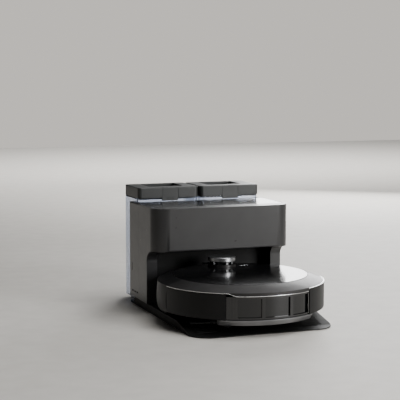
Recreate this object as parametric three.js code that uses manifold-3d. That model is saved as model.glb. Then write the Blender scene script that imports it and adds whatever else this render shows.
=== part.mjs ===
// Robot vacuum and mop, parked in its wash-and-empty station.
// Millimetres, +Z up, front towards -Y. Origin: bottom centre of the whole object.

import * as THREE from 'three';
import { mergeVertices } from 'three/addons/utils/BufferGeometryUtils.js';
import Module from 'manifold-3d';

const wasm = await Module();
wasm.setup();

// ---- Driving dimensions -------------------------------------------------------------------
const GAP = 0.3;                       // clearance between neighbouring pieces

const FAR = 300;                       // beyond every part, for blocks that cut
const STATION_HALF_WIDTH = 157.5;
const STATION_TOP = 230;
const STATION_REAR = 187;              // rear edge of the side panels
const HEAD_FRONT = 1;
const HEAD_BOTTOM = 137.5;
const HEAD_CORNER_RADIUS = 35;
const HEAD_ROOF = 6;                   // thickness above the inside of the station
const LEG_FRONT = 60;                  // front edge of the side walls, below the head
const LEG_THICKNESS = 24;
const SHELL_SEAM = 116;                // front shell ends, rear housing starts
const WALL = 3;
const CAVITY_BACK = 97;                // back of the garage that the robot parks in

const BASE_HALF_WIDTH = 155;
const BASE_TOP = 18.5;
const BASE_FRONT = -237;
const BASE_REAR = 257;
const BASE_BOTTOM = 1.2;
const BASE_CORNER_RADIUS = 45;
const LEDGE_HALF_WIDTH = 138;
const LEDGE_TOP = 6.7;                 // the tanks stand on this part of the base

const COVER_HALF_WIDTH = 151.8;
const COVER_FRONT = 36.3;
const COVER_REAR = 151.7;
const COVER_SPLIT = 59;
const COVER_BOTTOM = 227.3;
const COVER_AXIS_Y = 144;
const COVER_AXIS_Z = 225.5;
const ROD_RADIUS = 1;

const TANK_FRONT = 161;
const TANK_REAR = 263;
const TANK_INNER_X = 2;
const TANK_OUTER_X = 144.8;
const TANK_CORNER = 8;
const TANK_WALL = 2.6;
const TANK_TOP = 237.6;
const LID_FRONT = 157;
const LID_TOP = 261.5;
const WELL_FRONT = 185;                // recessed grip in each lid
const WELL_REAR = 254;
const WELL_FLOOR = 236.5;
const LATCH_WIDTH = 38;
const LATCH_BOTTOM = 231.4;

const ROBOT_Y = -88;
const ROBOT_RADIUS = 175;
const BODY_BOTTOM = 34;
const BODY_TOP = 86.6;
const RIM_TOP = 88.4;
const DISC_RADIUS = 140.2;
const DISC_TOP = 100;
const DECK_FLOOR = 90;
const VISOR_TOP = 80.8;                // the bumper's top edge dips to this over the window
const SEAM_Y = -29;                    // bumper meets the rear shell, from the robot's centre
const BUMPER_CLEARANCE = 2.9;
const TURRET_Y = 105.6;
const TURRET_RADIUS = 30;
const WHEEL_RADIUS = 31;
const WHEEL_X = 115;
const WHEEL_Z = BASE_TOP + GAP + WHEEL_RADIUS;
const ARM_PIVOT = [-42, 56];           // y, z of the wheel arm's pivot
const BRUSH_RADIUS = 17.5;
const BRUSH_Y = -41;
const BRUSH_Z = 38;
const CASTER_Y = -120;
const MOP_X = 70;
const MOP_Y = 78;
const MOP_RADIUS = 62;
const ROUND = 72;                      // facets on the robot's full circles
const SIDE_BRUSH_X = -95;
const SIDE_BRUSH_Y = -100;

// ---- Finishes -----------------------------------------------------------------------------
const finish = (color, roughness, metalness, extra = {}) =>
  new THREE.MeshStandardMaterial({ color, roughness, metalness, ...extra });

const charcoal = () => finish('#454545', 0.5, 0.1);
const matteBlack = () => finish('#151413', 0.75, 0);
const glossBlack = () => finish('#1b1b1c', 0.15, 0);
const darkGrey = () => finish('#3c3c3d', 0.45, 0.2);
const lidGrey = () => finish('#4a4c4b', 0.45, 0);
const tankPlastic = () => finish('#c8d0e8', 0.2, 0, { transparent: true, opacity: 0.4 });
const deckMetal = () => finish('#4b4949', 0.35, 0.7);
const chrome = () => finish('#d0d0d0', 0.15, 1);
const smokedGlass = () => finish('#222426', 0.1, 0);
const steel = () => finish('#a8aaad', 0.3, 1);
const rubber = () => finish('#1a1a1a', 0.9, 0);
const whitePlastic = () => finish('#dcdcd8', 0.6, 0);
const boardGreen = () => finish('#1f5a3a', 0.6, 0);
const padFabric = () => finish('#5f6b78', 0.95, 0);
const bagFabric = () => finish('#e4e0d6', 0.95, 0);
const bristle = () => finish('#8a8f95', 0.8, 0);

// ---- Solids -------------------------------------------------------------------------------
// A three.js geometry becomes a manifold solid, so that it can be joined and cut.
function solid(geometry) {
  const bare = geometry.index ? geometry.toNonIndexed() : geometry;
  bare.deleteAttribute('normal');
  bare.deleteAttribute('uv');
  const merged = mergeVertices(bare, 1e-4);
  return new wasm.Manifold(new wasm.Mesh({
    numProp: 3,
    vertProperties: new Float32Array(merged.attributes.position.array),
    triVerts: new Uint32Array(merged.index.array),
  }));
}

function geometryOf(body) {
  const mesh = body.getMesh();
  const geometry = new THREE.BufferGeometry();
  geometry.setAttribute('position', new THREE.BufferAttribute(mesh.vertProperties, 3));
  geometry.setIndex(new THREE.BufferAttribute(mesh.triVerts, 1));
  return geometry;
}

const join = (first, ...rest) => rest.reduce((sum, next) => sum.add(next), first);
const cut = (first, ...rest) => rest.reduce((left, next) => left.subtract(next), first);

function box(x0, x1, y0, y1, z0, z1) {
  const geometry = new THREE.BoxGeometry(x1 - x0, y1 - y0, z1 - z0);
  return solid(geometry.translate((x0 + x1) / 2, (y0 + y1) / 2, (z0 + z1) / 2));
}

// An outline given as points becomes a Shape; a Shape stays as it is.
function shapeOf(outline) {
  if (!Array.isArray(outline)) return outline;
  return new THREE.Shape(outline.map(([a, b]) => new THREE.Vector2(a, b)));
}

// A flat outline in X and Y, raised from z0 to z1.
function raise(outline, z0, z1, curveSegments = 2) {
  const shape = shapeOf(outline);
  const geometry = new THREE.ExtrudeGeometry(shape, { depth: z1 - z0, bevelEnabled: false, curveSegments });
  return solid(geometry.translate(0, 0, z0));
}

// An outline in X and Z, extruded along Y from y0 to y1.
function alongY(outline, y0, y1) {
  const geometry = new THREE.ExtrudeGeometry(shapeOf(outline), { depth: y1 - y0, bevelEnabled: false });
  return solid(geometry.rotateX(Math.PI / 2).translate(0, y1, 0));
}

// An outline in Y and Z, extruded along X from x0 to x1.
function alongX(outline, x0, x1, curveSegments = 4) {
  const shape = shapeOf(outline);
  const geometry = new THREE.ExtrudeGeometry(shape, { depth: x1 - x0, bevelEnabled: false, curveSegments });
  const turn = new THREE.Matrix4().makeBasis(
    new THREE.Vector3(0, 1, 0), new THREE.Vector3(0, 0, 1), new THREE.Vector3(1, 0, 0));
  return solid(geometry.applyMatrix4(turn).translate(x0, 0, 0));
}

// A rectangle whose corners have their own radii, in the order x0y0, x1y0, x1y1, x0y1.
function roundedRectangle(x0, x1, y0, y1, radii) {
  const [a, b, c, d] = Array.isArray(radii) ? radii : [radii, radii, radii, radii];
  const shape = new THREE.Shape();
  shape.moveTo(x0 + a, y0);
  shape.lineTo(x1 - b, y0);
  if (b) shape.absarc(x1 - b, y0 + b, b, -Math.PI / 2, 0, false);
  shape.lineTo(x1, y1 - c);
  if (c) shape.absarc(x1 - c, y1 - c, c, 0, Math.PI / 2, false);
  shape.lineTo(x0 + d, y1);
  if (d) shape.absarc(x0 + d, y1 - d, d, Math.PI / 2, Math.PI, false);
  shape.lineTo(x0, y0 + a);
  if (a) shape.absarc(x0 + a, y0 + a, a, Math.PI, 1.5 * Math.PI, false);
  return shape;
}

// A profile of [radius, z] pairs, turned about the Z axis. It runs from the axis or round on itself.
function turned(profile, segments = ROUND) {
  const onAxis = profile[0][0] === 0;
  const points = (onAxis ? profile : [...profile, profile[0]]).map(([r, z]) => new THREE.Vector2(r, z));
  const geometry = new THREE.LatheGeometry(points, segments);
  return solid(geometry.rotateX(Math.PI / 2));
}

const ring = (inner, outer, z0, z1, segments = ROUND) =>
  turned([[inner, z0], [outer, z0], [outer, z1], [inner, z1]], segments);

const disc = (radius, z0, z1, segments = 32) =>
  turned([[0, z0], [radius, z0], [radius, z1], [0, z1]], segments);

const move = (body, x, y, z = 0) => body.translate([x, y, z]);

// A round bar along X between two ends, centred on y, z.
function barX(radius, xa, xb, y, z, segments = 16) {
  return move(disc(radius, Math.min(xa, xb), Math.max(xa, xb), segments).rotate([0, 90, 0]), 0, y, z);
}

// ---- The scene graph ----------------------------------------------------------------------
const object = new THREE.Group();
const robot = new THREE.Group();
robot.position.set(0, ROBOT_Y, 0);
object.add(robot);

function place(group, name, body, material) {
  const mesh = new THREE.Mesh(geometryOf(body), material);
  mesh.name = name;
  group.add(mesh);
}

const station = (name, body, material) => place(object, name, body, material);
const onRobot = (name, body, material) => place(robot, name, body, material);
const bothSides = [['left', -1], ['right', 1]];

// ---- Station: base ------------------------------------------------------------------------
const TRAY = { halfWidth: 136, front: -78, rear: 57, corner: 14, rest: 6, floor: 5.5 };
const FOOT = { radius: 10, height: 2.1, x: 118, front: -150, rear: 215 };
const FEET = [
  ['front_left', -FOOT.x, FOOT.front],
  ['front_right', FOOT.x, FOOT.front],
  ['rear_left', -FOOT.x, FOOT.rear],
  ['rear_right', FOOT.x, FOOT.rear],
];
const LEDGE_FRONT = 156.7;

function basePlate() {
  const W = BASE_HALF_WIDTH;
  const R = BASE_CORNER_RADIUS;
  const deep = raise(roundedRectangle(-W, W, BASE_FRONT, STATION_REAR, [R, R, 0, 0]), 0, BASE_TOP);
  // Behind the side panels the base is only as wide as the tanks' feet.
  const L = LEDGE_HALF_WIDTH;
  const ledge = raise(roundedRectangle(-L, L, STATION_REAR - 1, BASE_REAR, [0, 0, 20, 20]), 0, BASE_TOP);
  const profile = alongX([
    [BASE_FRONT, BASE_BOTTOM], [BASE_REAR, BASE_BOTTOM], [BASE_REAR, LEDGE_TOP], [LEDGE_FRONT, LEDGE_TOP],
    [LEDGE_FRONT, BASE_TOP], [-130, BASE_TOP], [-206, 3.2], [BASE_FRONT, 2.6],
  ], -W, W);
  let plate = join(deep, ledge).intersect(profile);
  // The wash tray drops into a recess and rests on a rim round an open middle.
  const { halfWidth, front, rear, corner, rest, floor } = TRAY;
  const recess = roundedRectangle(-halfWidth, halfWidth, front, rear, corner);
  const openX = halfWidth - rest;
  const open = roundedRectangle(-openX, openX, front + rest, rear - rest, corner - rest);
  plate = cut(plate, raise(recess, floor, FAR), raise(open, 0, FAR));
  for (const [, x, y] of FEET) {
    plate = plate.subtract(move(disc(FOOT.radius + GAP, 0, FOOT.height + GAP, 20), x, y));
  }
  return plate;
}
station('base_plate', basePlate(), matteBlack());

for (const [where, x, y] of FEET) {
  station(`foot_${where}`, move(disc(FOOT.radius, 0, FOOT.height, 20), x, y), rubber());
}

function washTray() {
  const { halfWidth, front, rear, corner, floor } = TRAY;
  const bottom = floor + GAP;
  const inset = (by, radius) =>
    roundedRectangle(-halfWidth + by, halfWidth - by, front + by, rear - by, radius);
  let tray = raise(inset(GAP, corner - GAP), bottom, BASE_TOP - GAP);
  tray = tray.subtract(raise(inset(WALL, corner - WALL), bottom + 2.5, FAR));
  const ribCount = 5;
  const firstRib = 22;
  const ribPitch = 24;
  for (const [, side] of bothSides) {
    for (let i = 0; i < ribCount; i += 1) {
      const x = side * (firstRib + i * ribPitch);
      tray = tray.add(box(x - 2, x + 2, -60, 40, bottom + 1, 12));
    }
  }
  return tray;
}
station('wash_tray', washTray(), darkGrey());

// ---- Station: shells ----------------------------------------------------------------------
const BAY = { split: 59, halfWidth: 145, front: 42, rear: 100, lip: 5 };
const CONTACT = { x: 26, halfWidth: 4.5, z0: 60.5, z1: 75.5 };
const BEACON = { halfWidth: 15.6, z0: 84.4, z1: 95.6 };

function frontShell() {
  const W = STATION_HALF_WIDTH;
  const wallX = W - LEG_THICKNESS;
  const bottom = BASE_TOP + GAP;
  const filletDepth = 40;
  const filletHeight = 24.5;
  const side = new THREE.Shape();
  side.moveTo(SHELL_SEAM, bottom);
  side.lineTo(SHELL_SEAM, STATION_TOP);
  side.lineTo(HEAD_FRONT + 1.5, STATION_TOP);
  side.lineTo(HEAD_FRONT, STATION_TOP - 1.5);
  side.lineTo(HEAD_FRONT, HEAD_BOTTOM + 2);
  side.lineTo(HEAD_FRONT + 2, HEAD_BOTTOM);
  side.lineTo(LEG_FRONT - filletDepth, HEAD_BOTTOM);
  side.absellipse(LEG_FRONT - filletDepth, HEAD_BOTTOM - filletHeight, filletDepth, filletHeight,
    Math.PI / 2, 0, true);
  side.lineTo(LEG_FRONT, bottom);
  const C = HEAD_CORNER_RADIUS;
  const plan = raise(roundedRectangle(-W, W, HEAD_FRONT, SHELL_SEAM, [C, C, 0, 0]), 0, FAR, 5);
  let shell = alongX(side, -W, W, 4).intersect(plan);
  // The robot's garage, with its back wall left standing.
  shell = shell.subtract(box(-wallX, wallX, HEAD_FRONT - 1, CAVITY_BACK, 0, HEAD_BOTTOM));
  // Inside of the legs, of the head, and of the space behind the garage.
  const innerZ = bottom + WALL;
  const roofZ = HEAD_BOTTOM + WALL;
  for (const [, s] of bothSides) {
    const x = s * (W - LEG_THICKNESS / 2);
    const reach = LEG_THICKNESS / 2 - WALL;
    shell = shell.subtract(box(x - reach, x + reach, LEG_FRONT + WALL, FAR, innerZ, roofZ));
  }
  shell = shell.subtract(box(-wallX, wallX, CAVITY_BACK + WALL, FAR, innerZ, roofZ));
  const inner = W - WALL;
  const headPlan = roundedRectangle(-inner, inner, HEAD_FRONT + WALL, FAR, [C - WALL, C - WALL, 0, 0]);
  shell = shell.subtract(raise(headPlan, roofZ, STATION_TOP - HEAD_ROOF, 5));
  // Wall between the two bays, and the openings under the covers.
  const { split, halfWidth, front, rear, lip } = BAY;
  const wall = box(split - 1.5, split + 1.5, HEAD_FRONT + 1, rear, HEAD_BOTTOM + 1, STATION_TOP - 5);
  const recessX = COVER_HALF_WIDTH + GAP;
  const recess = roundedRectangle(-recessX, recessX, COVER_FRONT - GAP, FAR, [8, 8, 0, 0]);
  shell = shell.add(wall).subtract(raise(recess, COVER_BOTTOM - GAP, FAR));
  const openingBottom = STATION_TOP - 30;
  const left = roundedRectangle(-halfWidth, split - lip, front, rear - WALL, 8);
  const right = roundedRectangle(split + lip, halfWidth, front, rear - WALL, 8);
  shell = cut(shell, raise(left, openingBottom, FAR), raise(right, openingBottom, FAR));
  // Slots for the charging contacts and the beacon window.
  const back = CAVITY_BACK - 7;
  const slot = CONTACT.halfWidth + 0.5;
  for (const [, s] of bothSides) {
    const x = s * CONTACT.x;
    shell = shell.subtract(box(x - slot, x + slot, back, back + 14, CONTACT.z0 - 0.5, CONTACT.z1 + 0.5));
  }
  const beaconX = BEACON.halfWidth + 0.4;
  return shell.subtract(box(-beaconX, beaconX, back, back + 14, BEACON.z0 - 0.4, BEACON.z1 + 0.4));
}
station('front_shell', frontShell(), charcoal());

const CORE_REAR = 153.2;
const PANEL = 5;                       // thickness of the side walls beside the pumps
const INLET = { y0: 122, y1: 146, z0: 28, z1: 46 };
const GRIP = { y0: 164, y1: 167.5, z0: 77, z1: 95 };

function rearHousing() {
  const W = STATION_HALF_WIDTH;
  const front = SHELL_SEAM + GAP;
  const bottom = BASE_TOP + GAP;
  const inside = W - PANEL;
  const tankX = TANK_OUTER_X + 2 * GAP;
  const coverX = COVER_HALF_WIDTH + GAP;
  let shell = raise(roundedRectangle(-W, W, front, STATION_REAR, [0, 0, 5, 5]), bottom, STATION_TOP);
  shell = cut(shell,
    box(-inside, inside, front - 1, CORE_REAR, bottom + WALL, STATION_TOP - HEAD_ROOF),
    box(-tankX, tankX, CORE_REAR, FAR, 0, FAR),
    box(-coverX, coverX, front - 1, CORE_REAR, COVER_BOTTOM - GAP, FAR));
  // The covers' knuckles and rear edges turn in this slot.
  shell = shell.subtract(box(-coverX, coverX, COVER_AXIS_Y - 8, CORE_REAR, STATION_TOP - 30, FAR));
  // Hooks at both ends hold the hinge rod from the front, clear of the covers behind it.
  const y = COVER_AXIS_Y;
  const z = COVER_AXIS_Z;
  const hook = [[y - 6, z - 7], [y + 1.6, z - 7], [y + 1.6, z], [y, z + 1.3], [y - 6, z + 1.3]];
  for (const [, s] of bothSides) {
    const x = s * (COVER_HALF_WIDTH - 2);
    shell = shell.add(alongX(hook, x - 3, x + 3));
  }
  shell = shell.subtract(barX(ROD_RADIUS + GAP, -coverX, coverX, y, z, 12));
  // A grip slot on both sides, three vents on the left, and the power inlet's opening on the right.
  for (const [, s] of bothSides) {
    shell = shell.subtract(box(s * W - 5, s * W + 5, GRIP.y0, GRIP.y1, GRIP.z0, GRIP.z1));
  }
  for (const start of [124, 140, 156]) {
    shell = shell.subtract(box(-W - 5, -W + 8, start, start + 10, 30, 34));
  }
  const { y0, y1, z0, z1 } = INLET;
  return shell.subtract(box(W - WALL - 5, W + 5, y0 - GAP, y1 + GAP, z0 - GAP, z1 + GAP));
}
station('rear_housing', rearHousing(), charcoal());

function backCover() {
  const x = TANK_OUTER_X + GAP;
  return box(-x, x, CORE_REAR + GAP, LEDGE_FRONT - 0.1, BASE_TOP + GAP, STATION_TOP);
}
station('back_cover', backCover(), charcoal());

// ---- Station: what the shells hold --------------------------------------------------------
for (const [name, s] of bothSides) {
  const x = s * CONTACT.x;
  const w = CONTACT.halfWidth;
  const outline = roundedRectangle(x - w, x + w, CAVITY_BACK - 8.4, CAVITY_BACK + 6, [3, 3, 0, 0]);
  station(`charging_contact_${name}`, raise(outline, CONTACT.z0, CONTACT.z1), steel());
}
station('beacon_window', box(-BEACON.halfWidth, BEACON.halfWidth, CAVITY_BACK - 0.8, CAVITY_BACK + 5,
  BEACON.z0, BEACON.z1), smokedGlass());

const BAY_FLOOR = 142;
station('dust_bag', raise(roundedRectangle(-142, -2, 16, 92, 22), BAY_FLOOR, 206, 3), bagFabric());
const collarPort = box(0, 6, 40, 68, 165, 193);
station('dust_bag_collar', cut(box(1, 5, 20, 88, BAY_FLOOR, 214), collarPort), whitePlastic());

function detergentBottle() {
  const body = raise(roundedRectangle(66, 144, 18, 90, 18), BAY_FLOOR, 200, 3);
  const neck = move(disc(13, 199, 214, 20), 105, 54);
  return body.add(neck);
}
station('detergent_bottle', detergentBottle(), whitePlastic());

const CORE_Y = 127;
function pump(x) {
  const motor = move(disc(14, 60, 100, 20), x, CORE_Y);
  const head = move(disc(18, 46, 61, 20), x, CORE_Y);
  const spout = box(x - 4, x + 4, CORE_Y + 10, CORE_Y + 25, 49, 57);
  return join(motor, head, spout);
}
station('clean_water_pump', pump(-112), darkGrey());
station('dirty_water_pump', pump(100), darkGrey());

function blower(x, z, radius, depth) {
  const front = CORE_Y - depth / 2;
  const rear = CORE_Y + depth / 2;
  const scroll = move(disc(radius, 0, depth, 24).rotate([90, 0, 0]), x, rear, z);
  const outlet = box(x, x + radius + 6, front + 2, rear - 2, z - radius + 1, z - radius + 14);
  const eye = move(disc(radius * 0.45, 0, 4, 16).rotate([90, 0, 0]), x, front + 1, z);
  return scroll.add(outlet).subtract(eye);
}
station('suction_fan', blower(-20, 172, 30, 42), darkGrey());
station('drying_fan', blower(48, 120, 24, 26), darkGrey());
station('control_board', box(-126, -60, 104, 105.6, 112, 206), boardGreen());
station('power_supply', raise(roundedRectangle(-82, 66, 106, 148, 4), 24, 84), whitePlastic());

function powerInlet() {
  const W = STATION_HALF_WIDTH;
  const { y0, y1, z0, z1 } = INLET;
  const body = box(W - 28, W - 0.4, y0, y1, z0, z1);
  const socket = raise(roundedRectangle(0, 9, 0, 16, 4), 0, 14).rotate([0, 90, 0]);
  return body.subtract(socket.translate([W - 13, y0 + 4, z1 - 4.5]));
}
station('power_inlet', powerInlet(), matteBlack());

// ---- Station: covers ----------------------------------------------------------------------
const COVER_CORNER = 8;
const KNUCKLE = { radius: 3, reach: 6 };

function cover(x0, x1, knuckles, corners) {
  const y = COVER_AXIS_Y;
  const z = COVER_AXIS_Z;
  const { radius, reach } = KNUCKLE;
  let plate = raise(roundedRectangle(x0, x1, COVER_FRONT, COVER_REAR, corners), COVER_BOTTOM, STATION_TOP);
  for (const x of knuckles) {
    const web = box(x - reach, x + reach, y - 2.6, y + 2.6, z, COVER_BOTTOM + 1);
    plate = join(plate, web, barX(radius, x - reach, x + reach, y, z));
    plate = plate.subtract(barX(ROD_RADIUS + GAP, x - reach - 1, x + reach + 1, y, z, 12));
  }
  return plate;
}
const dustCover = cover(-COVER_HALF_WIDTH, COVER_SPLIT - GAP, [-124, 34], [COVER_CORNER, 1, 1, 1]);
const detergentCover = cover(COVER_SPLIT + GAP, COVER_HALF_WIDTH, [75, 132], [1, COVER_CORNER, 1, 1]);
station('dust_cover', dustCover, glossBlack());
station('detergent_cover', detergentCover, glossBlack());
const rodEnd = COVER_HALF_WIDTH - GAP;
station('cover_hinge_rod', barX(ROD_RADIUS, -rodEnd, rodEnd, COVER_AXIS_Y, COVER_AXIS_Z, 12), steel());

// ---- Tanks --------------------------------------------------------------------------------
// The tank's outline in plan, moved inwards by a distance, with its front edge at a given y.
function tankPlan(x0, x1, front, inset = 0) {
  return roundedRectangle(x0 + inset, x1 - inset, front + inset, TANK_REAR - inset, TANK_CORNER - inset);
}

function tank(x0, x1) {
  const bottom = LEDGE_TOP + GAP;
  const outer = raise(tankPlan(x0, x1, TANK_FRONT), bottom, TANK_TOP, 3);
  return outer.subtract(raise(tankPlan(x0, x1, TANK_FRONT, TANK_WALL), bottom + TANK_WALL, FAR, 3));
}

function tankLid(x0, x1, [wellX0, wellX1], latchX) {
  const bevelHeight = 2.2;
  const rim = raise(tankPlan(x0, x1, LID_FRONT), TANK_TOP + GAP, LID_TOP - bevelHeight, 3);
  const bevel = raise(tankPlan(x0, x1, LID_FRONT, 2), LID_TOP - bevelHeight - 0.1, LID_TOP, 3);
  const plug = raise(tankPlan(x0, x1, TANK_FRONT, TANK_WALL + 0.7), WELL_FLOOR - 2.5, TANK_TOP + 2, 3);
  const well = raise(roundedRectangle(wellX0, wellX1, WELL_FRONT, WELL_REAR, 6), WELL_FLOOR, FAR);
  const reach = LATCH_WIDTH / 2 + GAP;
  const notch = box(latchX - reach, latchX + reach, LID_FRONT - 3, LID_FRONT + 5, TANK_TOP - 5, FAR);
  return cut(join(rim, bevel, plug), well, notch);
}

function latch(x) {
  const thickness = 3.2;
  const profile = [
    [LID_FRONT, LATCH_BOTTOM], [LID_FRONT + thickness, LATCH_BOTTOM],
    [LID_FRONT + thickness, LID_TOP - 0.4], [LID_FRONT + 1, LID_TOP - 0.4], [LID_FRONT, LID_TOP - 2],
  ];
  return alongX(profile, x - LATCH_WIDTH / 2, x + LATCH_WIDTH / 2);
}

const TANKS = [
  { name: 'clean', x0: -TANK_OUTER_X, x1: -TANK_INNER_X, well: [-112, -30], latchX: -70 },
  { name: 'dirty', x0: TANK_INNER_X, x1: TANK_OUTER_X, well: [31, 113], latchX: 75 },
];
for (const { name, x0, x1, well, latchX } of TANKS) {
  station(`${name}_tank`, tank(x0, x1), tankPlastic());
  station(`${name}_tank_lid`, tankLid(x0, x1, well, latchX), lidGrey());
  station(`${name}_tank_latch`, latch(latchX), lidGrey());
}

// ---- Robot: body --------------------------------------------------------------------------
const frontOf = (y) => box(-FAR, FAR, -FAR, y, -FAR, FAR);
const behind = (y) => box(-FAR, FAR, y, FAR, -FAR, FAR);
// The part of the bumper's side of the seam that lies between two x values.
const between = (x0, x1, z0 = 0, z1 = FAR) => box(x0, x1, -FAR, SEAM_Y, z0, z1);
const VISOR = { x0: -87, x1: 88, lowX0: -72, lowX1: 86 };

// The line where bumper and deck meet, as an outline in X and Z that is filled up to z = FAR.
function visorNotch(grow) {
  const high = BODY_TOP + grow;
  const low = VISOR_TOP + grow;
  return [[VISOR.x0 + grow, high], [VISOR.lowX0 + grow, low], [VISOR.lowX1 - grow, low],
    [VISOR.x1 - grow, high], [VISOR.x1 - grow, FAR], [VISOR.x0 + grow, FAR]];
}

function chassis() {
  const front = disc(154, 30, BODY_BOTTOM, ROUND).intersect(frontOf(SEAM_Y + 12));
  const rear = disc(170, 30, BODY_BOTTOM, ROUND).intersect(behind(SEAM_Y + 11));
  let plate = front.add(rear);
  plate = plate.subtract(box(-84, 84, BRUSH_Y - 21, BRUSH_Y + 21, 0, 60));
  plate = plate.subtract(move(disc(21, 0, 60, 24), 0, CASTER_Y));
  plate = plate.subtract(move(disc(8, 0, 60, 16), SIDE_BRUSH_X, SIDE_BRUSH_Y));
  for (const [, s] of bothSides) {
    plate = plate.subtract(box(s * 110 - 19, s * 110 + 19, -36, 34, 0, 60));
    plate = plate.subtract(move(disc(9, 0, 60, 16), s * MOP_X, MOP_Y));
    const bracket = box(s * 87.5 - 2.5, s * 87.5 + 2.5, -52, -36, 33, 64);
    plate = plate.add(bracket.subtract(barX(3.5, s * 87.5 - 9, s * 87.5 + 9, ...ARM_PIVOT, 16)));
  }
  return plate;
}
onRobot('chassis', chassis(), matteBlack());

function deck() {
  const dome = turned([
    [0, DECK_FLOOR], [139.5, DECK_FLOOR], [168, BODY_TOP + GAP], [173, BODY_TOP + GAP], [173, RIM_TOP],
    [DISC_RADIUS + 0.5, 99.2], [DISC_RADIUS + 0.5, DECK_FLOOR + 3], [0, DECK_FLOOR + 3],
  ]);
  const notch = alongY(visorNotch(GAP), -FAR, SEAM_Y);
  const visor = ring(168, 173, VISOR_TOP + GAP, BODY_TOP + 1).intersect(notch);
  return dome.add(visor).subtract(raise(roundedRectangle(-62, 62, -20, 60, 8), 80, 110));
}
onRobot('deck', deck(), deckMetal());

function deckTrim() {
  const high = BODY_TOP + GAP;
  const low = VISOR_TOP + GAP;
  const strip = 1.3;
  const { x0, x1, lowX0, lowX1 } = VISOR;
  const outline = [
    [-FAR, high], [x0, high], [lowX0, low], [lowX1, low], [x1, high], [FAR, high], [FAR, high + strip],
    [x1 - 1, high + strip], [lowX1 - 1, low + strip], [lowX0 + 0.5, low + strip],
    [x0 + 0.5, high + strip], [-FAR, high + strip],
  ];
  return ring(173.3, ROBOT_RADIUS, VISOR_TOP, RIM_TOP + 2).intersect(alongY(outline, -FAR, SEAM_Y));
}
onRobot('deck_trim', deckTrim(), chrome());

function rearShell() {
  const wall = turned([
    [170.4, BODY_BOTTOM], [172.5, BODY_BOTTOM], [ROBOT_RADIUS, 50],
    [172.4, BODY_TOP], [169, BODY_TOP], [171.5, 50],
  ]);
  return wall.intersect(behind(SEAM_Y + BUMPER_CLEARANCE));
}
onRobot('rear_shell', rearShell(), darkGrey());

const BUTTON = { x: 48, y: 99, halfWidth: 11.5, halfDepth: 3.3, rise: 0.3 };
const COVER_UNDERSIDE = 96.8;
function keyOutline(grow) {
  const { x, y, halfWidth, halfDepth } = BUTTON;
  const w = halfWidth + grow;
  const d = halfDepth + grow;
  return roundedRectangle(x - w, x + w, y - d, y + d, d);
}

function topCover() {
  const plate = disc(DISC_RADIUS, COVER_UNDERSIDE, DISC_TOP, ROUND);
  const turretHole = move(disc(TURRET_RADIUS + 2 * GAP, 0, FAR), 0, TURRET_Y);
  return cut(plate, turretHole, raise(keyOutline(0.5), 0, FAR, 4));
}
onRobot('top_cover', topCover(), glossBlack());
onRobot('start_button', raise(keyOutline(0), COVER_UNDERSIDE, DISC_TOP + BUTTON.rise, 4), steel());

// ---- Robot: bumper ------------------------------------------------------------------------
const WINDOW = { x0: -91, x1: 89, z0: BODY_BOTTOM + 1.5 };

function bumper() {
  const { x0, x1, z0 } = WINDOW;
  const inner = 159;
  const face = ring(171, ROBOT_RADIUS, BODY_BOTTOM, BODY_TOP);
  const band = ring(inner, ROBOT_RADIUS, BODY_BOTTOM, VISOR_TOP);
  const back = ring(inner, 162.4, BODY_BOTTOM, VISOR_TOP).intersect(between(x0 - 4, x1 + 4));
  const floor = ring(inner, 170, BODY_BOTTOM, z0 - 0.2).intersect(between(x0 - 2, x1 + 2));
  const leftCheek = band.intersect(between(x0 - 4, x0));
  const rightCheek = band.intersect(between(x1, x1 + 4));
  const skin = cut(face, between(x0, x1), alongY(visorNotch(0), -FAR, SEAM_Y));
  return join(skin, back, leftCheek, rightCheek, floor).intersect(frontOf(SEAM_Y));
}
onRobot('bumper', bumper(), darkGrey());

const PANES = [[-69, -23], [-16, 39], [46, 85]];

function windowFrame() {
  const slab = ring(169.6, 172.4, WINDOW.z0 + 0.2, VISOR_TOP - GAP);
  let frame = slab.intersect(between(WINDOW.x0 + GAP, WINDOW.x1 - GAP));
  for (const [a, b] of PANES) {
    frame = frame.subtract(between(a, b, 39, 77));
  }
  return frame;
}
onRobot('window_frame', windowFrame(), darkGrey());

const pane = ring(167.2, 169.2, WINDOW.z0 + 0.6, VISOR_TOP - 0.6);
onRobot('sensor_window', pane.intersect(between(-78, 88)), smokedGlass());

function chin() {
  const top = BODY_BOTTOM - GAP;
  const profile = [[160, top], [158.5, 22.2], [165.5, 22.2], [172.5, BODY_BOTTOM - 2], [172.5, top]];
  return turned(profile).intersect(between(-100, 100));
}
onRobot('chin', chin(), darkGrey());

// ---- Robot: turret ------------------------------------------------------------------------
function lidarBase() {
  const R = TURRET_RADIUS;
  const cup = [[0, 93.3], [R, 93.3], [R, 104.7], [R - WALL, 104.7], [R - WALL, 96.3], [0, 96.3]];
  return move(turned(cup, 32), 0, TURRET_Y);
}
onRobot('lidar_base', lidarBase(), steel());
onRobot('lidar_head', move(disc(25.5, 97, 110.6), 0, TURRET_Y), smokedGlass());

function lidarCap() {
  const R = TURRET_RADIUS;
  let cap = turned([[0, 112.5], [R, 112.5], [R, 119], [R - 1.5, 120.5], [0, 120.5]], 32);
  for (let i = 0; i < 4; i += 1) {
    const angle = (i + 0.5) * Math.PI / 2 - 0.25;
    cap = cap.add(move(disc(1.3, 106.4, 113, 8), 27.8 * Math.cos(angle), 27.8 * Math.sin(angle)));
  }
  return move(cap, 0, TURRET_Y);
}
onRobot('lidar_cap', lidarCap(), steel());

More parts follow.
